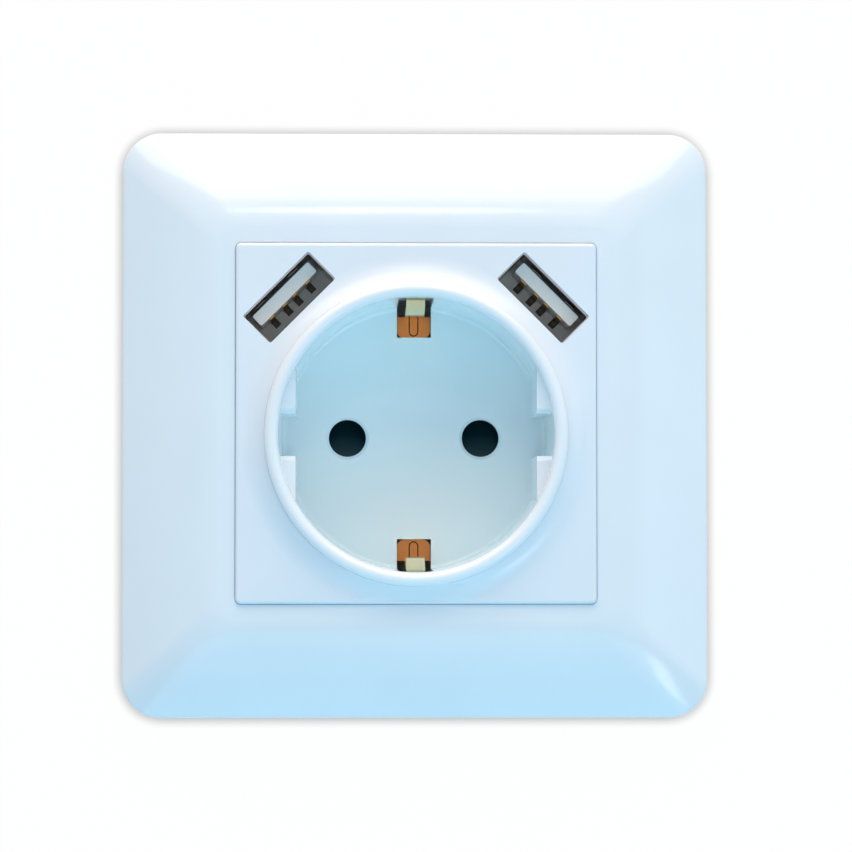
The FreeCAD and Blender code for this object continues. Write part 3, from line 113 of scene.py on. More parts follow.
def lamp(name, spot, size, power, color=(1.0, 1.0, 1.0), height=None):
    """A soft square lamp, or an oblong one where a height is given, turned to face the socket."""
    data = bpy.data.lights.new(name, "AREA")
    data.size = size
    if height:
        data.shape = "RECTANGLE"
        data.size_y = height
    data.energy = power
    data.color = color
    item = bpy.data.objects.new(name, data)
    item.location = spot
    item.rotation_euler = (-Vector(spot)).to_track_quat("-Z", "Y").to_euler()
    bpy.context.scene.collection.objects.link(item)


def round_square(shape, half, corner, depth):
    """A flat square face with round corners, turned to the room."""
    grid = bmesh.ops.create_grid(shape, x_segments=1, y_segments=1, size=half)
    made = bmesh.ops.bevel(
        shape, geom=grid["verts"], offset=corner, segments=CORNER_STEPS, affect="VERTICES",
        profile=0.5, material=-1,
    )
    face = made["verts"][0].link_faces[0]
    turn = Matrix.Rotation(math.radians(90), 3, "X")
    bmesh.ops.rotate(shape, verts=face.verts, cent=(0, 0, 0), matrix=turn)
    bmesh.ops.translate(shape, verts=face.verts, vec=(0, depth, 0))
    return face


def skin(rows, closed=False):
    """A shell through round squares; a row is a half width, a corner radius and a depth."""
    shape = bmesh.new()
    rings = []
    for half, corner, depth in rows:
        face = round_square(shape, half, corner, depth)
        rings.append(list(face.verts))
        bmesh.ops.delete(shape, geom=[face], context="FACES_ONLY")
    pairs = list(zip(rings, rings[1:]))
    if closed:
        pairs.append((rings[-1], rings[0]))
    for near, far in pairs:
        for place in range(len(near)):
            shape.faces.new((near[place - 1], near[place], far[place], far[place - 1]))
    bmesh.ops.recalc_face_normals(shape, faces=shape.faces)
    return shape


def as_object(name, shape):
    """Put a finished shape into the scene and free its bmesh."""
    mesh = bpy.data.meshes.new(name)
    shape.to_mesh(mesh)
    shape.free()
    item = bpy.data.objects.new(name, mesh)
    bpy.context.scene.collection.objects.link(item)
    return item


world = bpy.data.worlds.new("studio")
world.use_nodes = True
sky_tree = world.node_tree
sky_light = sky_tree.nodes["Background"]
sky_light.inputs["Color"].default_value = SKY
sky_light.inputs["Strength"].default_value = SKY_LEVEL
sky_seen = sky_tree.nodes.new("ShaderNodeBackground")
sky_seen.inputs["Color"].default_value = WHITE
sky_mix = sky_tree.nodes.new("ShaderNodeMixShader")
sky_tree.links.new(seen_directly(sky_tree), sky_mix.inputs[0])
sky_tree.links.new(sky_light.outputs[0], sky_mix.inputs[1])
sky_tree.links.new(sky_seen.outputs[0], sky_mix.inputs[2])
sky_tree.links.new(sky_mix.outputs[0], sky_tree.nodes["World Output"].inputs["Surface"])
bpy.context.scene.world = world

panel_rows = [(PANEL_HALF, PANEL_CORNER, PANEL_GAP), (HOLE_HALF, HOLE_CORNER, PANEL_GAP)]
panel = as_object("wall_panel", skin(panel_rows))
panel_paint = bpy.data.materials.new("wall_paint")
panel_paint.use_nodes = True
panel_tree = panel_paint.node_tree
panel_shader = panel_tree.nodes["Principled BSDF"]
panel_shader.inputs["Base Color"].default_value = PANEL_COLOR
panel_shader.inputs["Roughness"].default_value = PANEL_ROUGHNESS
# Painted shadow: the glow that the picture sees dims by ambient occlusion near the frame.
painted_shadow = panel_tree.nodes.new("ShaderNodeAmbientOcclusion")
painted_shadow.samples = SHADOW_SAMPLES
painted_shadow.inputs["Distance"].default_value = SHADOW_REACH
panel_glow = panel_tree.nodes.new("ShaderNodeEmission")
panel_tree.links.new(painted_shadow.outputs["AO"], panel_glow.inputs["Strength"])
panel_share = panel_tree.nodes.new("ShaderNodeMath")
panel_share.operation = "MULTIPLY"
panel_share.inputs[1].default_value = PANEL_GLOW
panel_tree.links.new(seen_directly(panel_tree), panel_share.inputs[0])
panel_mix = panel_tree.nodes.new("ShaderNodeMixShader")
panel_tree.links.new(panel_share.outputs[0], panel_mix.inputs[0])
panel_tree.links.new(panel_shader.outputs[0], panel_mix.inputs[1])
panel_tree.links.new(panel_glow.outputs[0], panel_mix.inputs[2])
panel_tree.links.new(panel_mix.outputs[0], panel_tree.nodes["Material Output"].inputs["Surface"])
panel.data.materials.append(panel_paint)

lamp("high_lamp", spot=(-0.02, -0.30, 0.64), size=1.05, power=6.4, color=(1.0, 0.84, 0.71), height=0.55)
lamp("low_lamp", spot=(0.03, -0.36, -0.55), size=0.75, power=2.6, color=(0.28, 0.78, 1.0))
lamp("left_lamp", spot=(-0.6, -0.35, 0.0), size=0.4, power=0.15, color=(0.95, 0.95, 1.0))
lamp("right_lamp", spot=(0.6, -0.35, 0.0), size=0.4, power=0.45, color=(0.62, 0.88, 1.0))
lamp("pane_lamp", spot=(0.40, -0.48, -0.42), size=0.11, power=0.36, height=0.24)
lamp("line_lamp", spot=(0.003, -0.572, 0.409), size=0.086, power=0.14, height=0.010)
lamp("back_lamp", spot=(0.35, 0.6, 0.45), size=0.6, power=7.5, color=(1.0, 0.90, 0.80))

# Cover frame
# The wide frame is one moulding in glossy pale plastic. Its face rises from thin sides in a soft
# convex slope to a flat land round the opening, and a collar behind it snaps round the centre plate.
FRAME_SIDE = 2.9 * MM
FRAME_CURVE = 1.55
FRAME_LAND = 2.2 * MM
FRAME_WALL = 1.8 * MM
FRAME_CORNER = 5.4 * MM
LAND_CORNER = 3.2 * MM
EDGE_ROUND = 0.7 * MM
EDGE_STEPS = 7
MOUTH_ROUND = 0.14 * MM
MOUTH_STEPS = 5
MOUTH_GAP = 0.045 * MM
PLATE_CORNER = 0.75 * MM
COLLAR_WALL = 1.4 * MM
COLLAR_END = -1.0 * MM
NOTCH_HALF = 3.5 * MM
NOTCH_DEPTH = 3.2 * MM
SLOPE_ROWS = 26
SOFT_STEPS = 3
PATTERN_LOW = 0.3
PATTERN_HIGH = 0.7
DRIFT_SCALE = 70.0
GLOSS_SCALE = 0.4
GLOSS_DRIFT = 0.06
RELIEF_STRENGTH = 0.3
RELIEF_DETAIL = 4.0
FRAME_COLOR = (0.714, 0.796, 0.890)


def arc(centre, radius, start, end, steps):
    """Points along an arc, with angles in degrees."""
    points = []
    for step in range(steps + 1):
        angle = math.radians(start + (end - start) * step / steps)
        points.append((centre[0] + radius * math.cos(angle), centre[1] + radius * math.sin(angle)))
    return points


def thicken(shape, face, depth):
    """Extrude a face straight into the wall and turn all faces outwards."""
    raised = bmesh.ops.extrude_face_region(shape, geom=[face])
    moved = [item for item in raised["geom"] if isinstance(item, bmesh.types.BMVert)]
    bmesh.ops.translate(shape, verts=moved, vec=(0, depth, 0))
    bmesh.ops.recalc_face_normals(shape, faces=shape.faces)


def prism(half, corner, front, back):
    """A solid square block with round corners between two depths."""
    shape = bmesh.new()
    thicken(shape, round_square(shape, half, corner, front), back - front)
    return shape


def block(low, high):
    """A plain box between two corners."""
    shape = bmesh.new()
    size = Vector(high) - Vector(low)
    bmesh.ops.create_cube(shape, size=1.0)
    bmesh.ops.scale(shape, vec=size, verts=shape.verts)
    bmesh.ops.translate(shape, verts=shape.verts, vec=(Vector(high) + Vector(low)) / 2)
    return shape


def combine(shape, tools, operation="DIFFERENCE"):
    """Cut tools out of a solid, or join them to it."""
    base = as_object("work", shape)
    others = []
    for tool in tools:
        other = as_object("tool", tool)
        change = base.modifiers.new("tool", "BOOLEAN")
        change.operation = operation
        change.solver = "MANIFOLD"
        change.object = other
        others.append(other)
    result = bmesh.new()
    result.from_object(base, bpy.context.evaluated_depsgraph_get())
    for item in [base] + others:
        bpy.data.meshes.remove(item.data)
    return result


def piece(name, shape, material, stands_for, soft=0.0, sharp=35.0, body="socket_body"):
    """Finish a mesh as a visible piece of a body, in place of the CAD nodes it stands for."""
    item = as_object(name, shape)
    for polygon in item.data.polygons:
        polygon.use_smooth = True
    item.data.set_sharp_from_angle(angle=math.radians(sharp))
    item.data.materials.append(material)
    if soft:
        rounded = item.modifiers.new("soft_edges", "BEVEL")
        rounded.width = soft
        rounded.segments = SOFT_STEPS
        rounded.limit_method = "ANGLE"
        rounded.angle_limit = math.radians(sharp)
    weighted = item.modifiers.new("flat_faces", "WEIGHTED_NORMAL")
    weighted.keep_sharp = not soft
    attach(item, body)
    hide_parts(*stands_for)
    return item


def mixed_color(tree, factor, low, high):
    """A colour between two, by a factor; the low one is a plain colour or another node's."""
    blend = tree.nodes.new("ShaderNodeMix")
    blend.data_type = "RGBA"
    tree.links.new(factor, blend.inputs["Factor"])
    if isinstance(low, tuple):
        blend.inputs["A"].default_value = (*low, 1.0)
    else:
        tree.links.new(low, blend.inputs["A"])
    blend.inputs["B"].default_value = (*high, 1.0)
    return blend.outputs["Result"]


def noise(tree, scale, detail=3.0, stretch=(1.0, 1.0, 1.0)):
    """A noise pattern on the piece's own coordinates, in metres."""
    place = tree.nodes.new("ShaderNodeTexCoord")
    mapping = tree.nodes.new("ShaderNodeMapping")
    mapping.inputs["Scale"].default_value = stretch
    tree.links.new(place.outputs["Object"], mapping.inputs["Vector"])
    pattern = tree.nodes.new("ShaderNodeTexNoise")
    pattern.inputs["Scale"].default_value = scale
    pattern.inputs["Detail"].default_value = detail
    tree.links.new(mapping.outputs["Vector"], pattern.inputs["Vector"])
    return pattern.outputs["Fac"]


def crystals(tree, scale):
    """An even value in each of many small crystals."""
    place = tree.nodes.new("ShaderNodeTexCoord")
    cells = tree.nodes.new("ShaderNodeTexVoronoi")
    cells.inputs["Scale"].default_value = scale
    tree.links.new(place.outputs["Object"], cells.inputs["Vector"])
    parts = tree.nodes.new("ShaderNodeSeparateColor")
    tree.links.new(cells.outputs["Color"], parts.inputs["Color"])
    return parts.outputs["Red"]


def ranged(tree, value, low, high):
    """Bring a pattern's value into a range."""
    spread = tree.nodes.new("ShaderNodeMapRange")
    spread.inputs["From Min"].default_value = PATTERN_LOW
    spread.inputs["From Max"].default_value = PATTERN_HIGH
    spread.inputs["To Min"].default_value = low
    spread.inputs["To Max"].default_value = high
    tree.links.new(value, spread.inputs["Value"])
    return spread.outputs["Result"]


def by_depth(tree, near, far):
    """Nought at one depth into the wall and one at another."""
    place = tree.nodes.new("ShaderNodeTexCoord")
    parts = tree.nodes.new("ShaderNodeSeparateXYZ")
    tree.links.new(place.outputs["Object"], parts.inputs["Vector"])
    step = tree.nodes.new("ShaderNodeMapRange")
    step.inputs["From Min"].default_value = near
    step.inputs["From Max"].default_value = far
    tree.links.new(parts.outputs["Y"], step.inputs["Value"])
    return step.outputs["Result"]


def surface(
    name, color, roughness, grain=1500.0, depth=0.02 * MM,
    metal=0.0, shade=0.04, stretch=(1.0, 1.0, 1.0), deeper=(), spangle=0.0,
):
    """A finish with a faint drift of colour, uneven gloss and a fine grain in relief.

    Each step in deeper is two depths and the colour that takes over between them. With a spangle the
    drift comes in crystals, as on zinc.
    """
    material = bpy.data.materials.new(name)
    material.use_nodes = True
    tree = material.node_tree
    shader = tree.nodes["Principled BSDF"]
    shader.inputs["Metallic"].default_value = metal
    dark = tuple(value * (1 - shade) for value in color)
    light = tuple(min(value * (1 + shade), 1.0) for value in color)
    pattern = crystals(tree, spangle) if spangle else noise(tree, DRIFT_SCALE)
    paint = mixed_color(tree, ranged(tree, pattern, 0.0, 1.0), dark, light)
    for near, far, other in deeper:
        paint = mixed_color(tree, by_depth(tree, near, far), paint, other)
    tree.links.new(paint, shader.inputs["Base Color"])
    rubbed = noise(tree, grain * GLOSS_SCALE, stretch=stretch)
    gloss = ranged(tree, rubbed, roughness * (1 - GLOSS_DRIFT), roughness * (1 + GLOSS_DRIFT))
    tree.links.new(gloss, shader.inputs["Roughness"])
    relief = tree.nodes.new("ShaderNodeBump")
    relief.inputs["Strength"].default_value = RELIEF_STRENGTH
    relief.inputs["Distance"].default_value = depth
    tree.links.new(noise(tree, grain, RELIEF_DETAIL, stretch), relief.inputs["Height"])
    tree.links.new(relief.outputs["Normal"], shader.inputs["Normal"])
    return material


frame_low, frame_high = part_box("cover_frame")
frame_half = frame_high.x
frame_face = frame_low.y
plate_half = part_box("centre_plate")[1].x
mouth_half = plate_half + MOUTH_GAP
land_half = mouth_half + FRAME_LAND
mouth_corner = PLATE_CORNER + MOUTH_GAP


def slope_row(share, outer_corner, inset=0.0, drop=0.0):
    """One level of the frame's slope: share is 1 at the side and 0 at the land."""
    half = land_half + (frame_half - land_half) * share - inset
    rise = (-frame_face - FRAME_SIDE) * (1 - share ** FRAME_CURVE)
    corner = LAND_CORNER + (outer_corner - LAND_CORNER) * share
    return half, corner, -(FRAME_SIDE + rise - drop)


steepness = (-frame_face - FRAME_SIDE) * FRAME_CURVE / (frame_half - land_half)
side_angle = math.degrees(math.atan(steepness))
tangent = EDGE_ROUND * math.tan(math.radians(90 - side_angle) / 2)
edge_middle = (frame_half - EDGE_ROUND, -FRAME_SIDE + tangent)
frame_rows = [(frame_half, FRAME_CORNER, 0.0)]
for half, depth in arc(edge_middle, EDGE_ROUND, 0, side_angle - 90, EDGE_STEPS):
    frame_rows.append((half, FRAME_CORNER - (frame_half - half), depth))
first_share = (frame_rows[-1][0] - land_half) / (frame_half - land_half)
full_corner = LAND_CORNER + (frame_rows[-1][1] - LAND_CORNER) / first_share
for row in range(1, SLOPE_ROWS + 1):
    frame_rows.append(slope_row(first_share * (1 - row / SLOPE_ROWS), full_corner))
frame_rows.append((mouth_half + MOUTH_ROUND * 2, mouth_corner + MOUTH_ROUND * 2, frame_face))
mouth_middle = (mouth_half + MOUTH_ROUND, frame_face + MOUTH_ROUND)
for half, depth in arc(mouth_middle, MOUTH_ROUND, -90, -180, MOUTH_STEPS):
    frame_rows.append((half, mouth_corner + half - mouth_half, depth))
collar_half = mouth_half + COLLAR_WALL
ceiling = frame_face + FRAME_WALL
frame_rows += [
    (mouth_half, mouth_corner, COLLAR_END),
    (collar_half, mouth_corner + COLLAR_WALL, COLLAR_END),
    (collar_half, mouth_corner + COLLAR_WALL, ceiling),
    (land_half, LAND_CORNER, ceiling),
    slope_row(0.5, full_corner, FRAME_WALL, FRAME_WALL / 2),
    (frame_half - FRAME_WALL, FRAME_CORNER - FRAME_WALL, -FRAME_SIDE + FRAME_WALL / 2),
    (frame_half - FRAME_WALL, FRAME_CORNER - FRAME_WALL, 0.0),
]
notch = block(
    (-collar_half - MM, COLLAR_END - NOTCH_DEPTH, -NOTCH_HALF), (collar_half + MM, MM, NOTCH_HALF)
)
frame_shape = combine(skin(frame_rows, closed=True), [notch])
frame_plastic = surface("frame_plastic", FRAME_COLOR, roughness=0.16, shade=0.015)
piece("cover_frame_moulding", frame_shape, frame_plastic, ["cover_frame"])

# Centre plate
# The square plate is moulded in the same pale plastic. It fills the frame's opening and stands a little
# proud, its face sweeps up in a round flare to the plug well, and two slanted apertures in its upper
# corners take the USB outlets.
WELL_UP = -1.6 * MM
PLATE_PROUD = 0.6 * MM
PLATE_WALL = 1.8 * MM
PLATE_EDGE = 0.5 * MM
PLATE_SPARE = 0.2 * MM
RIM_STEPS = 6
RIM_TRIM = 2.9 * MM
SKIRT_WALL = 1.2 * MM
FLARE_RADIUS = 5.5 * MM
FLARE_RISE = 1.4 * MM
FLARE_STEPS = 14
LIP_RADIUS = 21.0 * MM
LIP_GAP = 0.02 * MM
PORT_ACROSS = 17.6 * MM
PORT_UP = 17.4 * MM
PORT_TILT = 45.0
PORT_HALF = Vector((6.25, 2.56)) * MM
PORT_REVEAL = 0.14 * MM
PORT_CORNER = 0.3 * MM
PORT_ROOM = 0.6 * MM
PORT_STEPS = 5
CUT_RADIUS = 50.0 * MM
CUT_REACH = 30.0 * MM
CUT_BACK = 10.0 * MM
TURN_STEPS = 240
SAME_SPOT = 0.0005 * MM
PLATE_COLOR = (0.708, 0.786, 0.890)


def turned(profile, across=0.0, steps=TURN_STEPS):
    """A shape turned about an axis into the wall; the profile is in radius and depth."""
    shape = bmesh.new()
    verts = [shape.verts.new((across + radius, depth, WELL_UP)) for radius, depth in profile]
    pairs = list(zip(verts, verts[1:]))
    if profile[0][0] > 0 or profile[-1][0] > 0:
        pairs.append((verts[-1], verts[0]))
    edges = [shape.edges.new(pair) for pair in pairs]
    bmesh.ops.spin(
        shape, geom=verts + edges, cent=(across, 0, WELL_UP), axis=(0, 1, 0), angle=math.tau,
        steps=steps, use_merge=True,
    )
    bmesh.ops.remove_doubles(shape, verts=shape.verts, dist=SAME_SPOT)
    bmesh.ops.recalc_face_normals(shape, faces=shape.faces)
    return shape


def port_block(side, grow, front, back):
    """A slanted block with the outline of a USB outlet, in its corner of the plate."""
    shape = bmesh.new()
    bmesh.ops.create_cube(shape, size=2.0)
    size = Vector((PORT_HALF.x + grow, (back - front) / 2, PORT_HALF.y + grow))
    bmesh.ops.scale(shape, vec=size, verts=shape.verts)
    inward = [edge for edge in shape.edges if abs((edge.verts[0].co - edge.verts[1].co).y) > size.y]
    bmesh.ops.bevel(
        shape, geom=inward, offset=PORT_CORNER, segments=PORT_STEPS, affect="EDGES",
        profile=0.5, material=-1,
    )
    turn = Matrix.Rotation(math.radians(PORT_TILT * side), 3, "Y")
    bmesh.ops.rotate(shape, verts=shape.verts, cent=(0, 0, 0), matrix=turn)
    middle = (PORT_ACROSS * side, (front + back) / 2, PORT_UP)
    bmesh.ops.translate(shape, verts=shape.verts, vec=middle)
    return shape


plate_face = frame_face - PLATE_PROUD
crest = plate_face - FLARE_RISE
opening_radius = LIP_RADIUS + LIP_GAP
flare_run = math.sqrt(FLARE_RADIUS ** 2 - (FLARE_RADIUS - FLARE_RISE) ** 2)
flare_end = opening_radius + flare_run
flare_start = math.degrees(math.asin(flare_run / FLARE_RADIUS))
flare_middle = (flare_end, plate_face - FLARE_RADIUS)
flare_arc = arc(flare_middle, FLARE_RADIUS, 90 + flare_start, 90, FLARE_STEPS)
flare_profile = [(0.0, crest - 2 * MM), (CUT_RADIUS, crest - 2 * MM), (CUT_RADIUS, plate_face)]
flare_profile += flare_arc[::-1] + [(0.0, crest)]
plate_shape = prism(plate_half, PLATE_CORNER, crest - PLATE_SPARE, COLLAR_END)
plate_shape = combine(plate_shape, [turned(flare_profile)])
rim_middle = (plate_half - PLATE_EDGE, plate_face + PLATE_EDGE)
rim_rows = []
for half, depth in arc(rim_middle, PLATE_EDGE, -90, 0, RIM_STEPS):
    rim_rows.append((half, PLATE_CORNER - (plate_half - half), depth))
rim_rows += [
    (plate_half + MM, PLATE_CORNER + MM, plate_face + PLATE_EDGE),
    (plate_half + MM, PLATE_CORNER + MM, crest - MM),
    (plate_half - RIM_TRIM, PLATE_EDGE / 10, crest - MM),
    (plate_half - RIM_TRIM, PLATE_EDGE / 10, plate_face - RIM_TRIM / 3),
]
opening = [
    (0.0, -CUT_REACH),
    (opening_radius, -CUT_REACH),
    (opening_radius, CUT_BACK),
    (0.0, CUT_BACK),
]
plate_back = plate_face + PLATE_WALL
plate_tools = [
    prism(plate_half - SKIRT_WALL, PLATE_CORNER / 2, plate_back, MM),
    turned(opening),
    block((-CUT_REACH, COLLAR_END - NOTCH_DEPTH, -NOTCH_HALF), (CUT_REACH, MM, NOTCH_HALF)),
    skin(rim_rows, closed=True),
]
for side in (-1, 1):
    plate_tools.append(port_block(side, PORT_REVEAL, -CUT_REACH, CUT_BACK))
    plate_tools.append(port_block(side, PORT_ROOM, plate_back, CUT_BACK))
plate_shape = combine(plate_shape, plate_tools)
plate_plastic = surface("plate_plastic", PLATE_COLOR, roughness=0.24, shade=0.015)
piece("centre_plate_moulding", plate_shape, plate_plastic, ["centre_plate"])

# Plug well
# The cup that takes the plug is one round moulding: a rounded lip stands proud of the plate, and the
# wall tapers to a flat floor with two pin holes. Guide blocks at both sides steer the plug, and windows
# at the top and the bottom let the earth clips through.
WELL_RADIUS = 18.8 * MM
WELL_WALL = 1.5 * MM
LIP_INNER = 19.05 * MM
LIP_LENGTH = 3.4 * MM
LIP_STEPS = 16
WELL_DEPTH = 17.5 * MM
FLOOR_WALL = 2.0 * MM
FLOOR_ROUND = 0.6 * MM
FLOOR_STEPS = 8
GUIDE_FLAT = 16.7 * MM
GUIDE_GAP = 2.95 * MM
GUIDE_SETBACK = 2.4 * MM
GUIDE_BEVEL = 0.7 * MM
GUIDE_STEPS = 14
PIN_ACROSS = 9.5 * MM
PIN_HOLE = 2.65 * MM
PIN_BEVEL = 0.4 * MM
PIN_STEPS = 72
WINDOW_HALF = 2.43 * MM
WINDOW_INNER = 14.4 * MM
WINDOW_SETBACK = 3.0 * MM
NEARLY = 0.001 * MM
SHADE_START = 2.0 * MM
SHADE_END = 7.0 * MM
WELL_COLOR = (0.768, 0.832, 0.905)
WELL_PAINTED_SHADE = (0.765, 0.905, 0.965)

lip_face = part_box("socket_well")[0].y
floor_face = lip_face + WELL_DEPTH
floor_back = floor_face + FLOOR_WALL
lip_half = (LIP_RADIUS - LIP_INNER) / 2
well_profile = [(0.0, floor_face), (WELL_RADIUS - FLOOR_ROUND, floor_face)]
floor_edge = (WELL_RADIUS - FLOOR_ROUND, floor_face - FLOOR_ROUND)
well_profile += arc(floor_edge, FLOOR_ROUND, 85, 0, FLOOR_STEPS)
well_profile += arc((LIP_INNER + lip_half, lip_face + lip_half), lip_half, -180, 0, LIP_STEPS)
well_profile += [
    (LIP_RADIUS, lip_face + LIP_LENGTH),
    (WELL_RADIUS + WELL_WALL, lip_face + LIP_LENGTH),
    (WELL_RADIUS + WELL_WALL, floor_back),
    (0.0, floor_back),
]
well_shape = turned(well_profile)


def guide_block(side, level):
    """One guide block at a side, above or below the gap, sunk into the cup's wall and floor."""
    front = lip_face + GUIDE_SETBACK
    buried = WELL_RADIUS + WELL_WALL / 2
    low = math.degrees(math.asin(GUIDE_GAP / buried))
    high = math.degrees(math.acos(GUIDE_FLAT / buried))
    shape = bmesh.new()
    points = [(GUIDE_FLAT, GUIDE_GAP)] + arc((0, 0), buried, low, high, GUIDE_STEPS)
    spots = [(across * side, front, WELL_UP + up * level) for across, up in points]
    face = shape.faces.new([shape.verts.new(spot) for spot in spots])
    thicken(shape, face, floor_face + FLOOR_WALL / 2 - front)
    gap_level = WELL_UP + GUIDE_GAP * level
    nose = []
    for edge in shape.edges:
        on_face = all(abs(vert.co.y - front) < NEARLY for vert in edge.verts)
        by_gap = all(abs(vert.co.z - gap_level) < NEARLY for vert in edge.verts)
        if on_face and by_gap:
            nose.append(edge)
    bmesh.ops.bevel(
        shape, geom=nose, offset=GUIDE_BEVEL, segments=1, affect="EDGES", profile=0.5, material=-1
    )
    return shape


guides = [guide_block(side, level) for side in (-1, 1) for level in (-1, 1)]
well_shape = combine(well_shape, guides, "UNION")
pin_profile = [
    (0.0, floor_face - MM),
    (PIN_HOLE + PIN_BEVEL + MM, floor_face - MM),
    (PIN_HOLE, floor_face + PIN_BEVEL),
    (PIN_HOLE, floor_back + MM),
    (0.0, floor_back + MM),
]
well_tools = [turned(pin_profile, PIN_ACROSS * side, steps=PIN_STEPS) for side in (-1, 1)]
for level in (-1, 1):
    ends = sorted((WELL_UP + WINDOW_INNER * level, WELL_UP + (LIP_RADIUS + MM) * level))
    low = (-WINDOW_HALF, lip_face + WINDOW_SETBACK, ends[0])
    well_tools.append(block(low, (WINDOW_HALF, floor_back + MM, ends[1])))
well_shape = combine(well_shape, well_tools)
# Painted shade: from 2 mm to 7 mm behind the lip the cup's colour turns cooler, for its shaded depths.
well_plastic = surface(
    "well_plastic", WELL_COLOR, roughness=0.22, shade=0.015,
    deeper=[(lip_face + SHADE_START, lip_face + SHADE_END, WELL_PAINTED_SHADE)],
)
piece("plug_well_moulding", well_shape, well_plastic, ["socket_well"])

# Earth bracket
# One strip of copper alloy runs behind the well's floor and rises as a bowed spring clip in each
# window. It narrows to a neck before each flat foot, where a tongue is slit free. The clips' faces carry
# a painted highlight: a pale bright metal colour, with the darker copper deeper behind them.
COPPER = (0.42, 0.17, 0.055)
CLIP_PAINTED_HIGHLIGHT = (1.00, 0.78, 0.46)
STRIP = 0.8 * MM
FOOT_HALF = 2.36 * MM
FOOT_START = 14.5 * MM
FOOT_END = 17.5 * MM
FOOT_ROUND = 0.95 * MM
FOOT_STEPS = 6
NECK_HALF = 1.5 * MM
NECK_START = 12.3 * MM
TONGUE_HALF = 0.62 * MM
TONGUE_LENGTH = 2.1 * MM
TONGUE_STEPS = 12
SLIT = 0.16 * MM
BRACKET_GAP = 0.3 * MM
HIGHLIGHT_START = 2.2 * MM
HIGHLIGHT_END = 1.0 * MM
FLAT_ANGLE = 1.0


def cad_shape(node):
    """A node's own form with its triangles merged to clean faces."""
    shape = bmesh.new()
    shape.from_mesh(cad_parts[node].data)
    bmesh.ops.remove_doubles(shape, verts=shape.verts, dist=SAME_SPOT)
    bmesh.ops.dissolve_limit(
        shape, angle_limit=math.radians(FLAT_ANGLE), verts=shape.verts, edges=shape.edges,
        use_dissolve_boundaries=False,
    )
    return shape


def cad_copy(name, node, material, soft=0.0, sharp=35.0, body="socket_body"):
    """A node's own form as a visible piece, with its edges softened."""
    return piece(name, cad_shape(node), material, [node], soft, sharp, body)


def plate(points, front, back):
    """A flat plate from an outline in across and up."""
    shape = bmesh.new()
    face = shape.faces.new([shape.verts.new((across, front, up)) for across, up in points])
    thicken(shape, face, back - front)
    return shape


def tongue_outline(half, way):
    """An arch open towards the clip, in across and up."""
    bend = arc((0, FOOT_END - TONGUE_LENGTH), half, 0, -180, TONGUE_STEPS)
    points = [(half, FOOT_END + STRIP)] + bend + [(-half, FOOT_END + STRIP)]
    return [(across, WELL_UP + up * way) for across, up in points]


feet = []
sides = []
slits = []
bracket_seat = floor_back + BRACKET_GAP
corner = (FOOT_HALF - FOOT_ROUND, FOOT_START + FOOT_ROUND)
foot_outline = [(-FOOT_HALF, FOOT_END), (FOOT_HALF, FOOT_END)]
foot_outline += arc(corner, FOOT_ROUND, 0, -90, FOOT_STEPS)
foot_outline += arc((-corner[0], corner[1]), FOOT_ROUND, -90, -180, FOOT_STEPS)
for way in (-1, 1):
    points = [(across, WELL_UP + up * way) for across, up in foot_outline]
    feet.append(plate(points, bracket_seat, bracket_seat + STRIP))
    ends = sorted((WELL_UP + NECK_START * way, WELL_UP + (FOOT_END + STRIP) * way))
    for side in (-1, 1):
        across = sorted((NECK_HALF * side, (FOOT_HALF + MM) * side))
        low = (across[0], bracket_seat - STRIP, ends[0])
        sides.append(block(low, (across[1], bracket_seat + STRIP * 2, ends[1])))
    outer = tongue_outline(TONGUE_HALF + SLIT / 2, way)
    inner = tongue_outline(TONGUE_HALF - SLIT / 2, way)
    slits.append(plate(outer + inner[::-1], bracket_seat - STRIP, bracket_seat + STRIP * 2))
# Painted highlight: the clips' faces are pale and bright, and the strip turns to darker copper behind
# them.
copper = surface(
    "earth_copper", CLIP_PAINTED_HIGHLIGHT, roughness=0.24, grain=900.0, metal=1.0, shade=0.05,
    stretch=(1.0, 0.2, 1.0),
    deeper=[(bracket_seat - HIGHLIGHT_START, bracket_seat - HIGHLIGHT_END, COPPER)],
)
bracket = combine(cad_shape("earth_bracket"), sides)
bracket = combine(combine(bracket, feet, "UNION"), slits)
piece("earth_bracket_strip", bracket, copper, ["earth_bracket"], soft=0.05 * MM)

# Pin shutter
# A dark moulded bar stands behind the pin holes until two pins press on its slopes together. Two coil
# springs of round wire push it up from the pocket's floor, and they close up as the bar slides down.
SHUTTER_COLOR = (0.003, 0.030, 0.042)
SHUTTER_SHINE = 0.15
SPRING_STEEL = (0.60, 0.60, 0.60)
SPRING_RADIUS = 1.1 * MM
SPRING_WIRE = 0.17 * MM
SPRING_TURNS = 6
WIRE_SIDES = 12
COIL_STEPS = 30


def helix(section, middle, way, turns, rise, steps):
    """Sweep a flat section of (out, along) points round an axis that runs up or into the wall."""
    shape = bmesh.new()
    if way == "up":
        spots = [(middle.x + out, middle.y, middle.z + along) for out, along in section]
        axis = Vector((0.0, 0.0, 1.0))
    else:
        spots = [(middle.x + out, middle.y + along, middle.z) for out, along in section]
        axis = Vector((0.0, 1.0, 0.0))
    face = shape.faces.new([shape.verts.new(spot) for spot in spots])
    bmesh.ops.spin(
        shape, geom=[face] + face.verts[:] + face.edges[:], cent=middle, axis=axis,
        dvec=axis * (rise / (turns * steps)), angle=math.tau * turns, steps=turns * steps,
    )
    bmesh.ops.recalc_face_normals(shape, faces=shape.faces)
    return shape


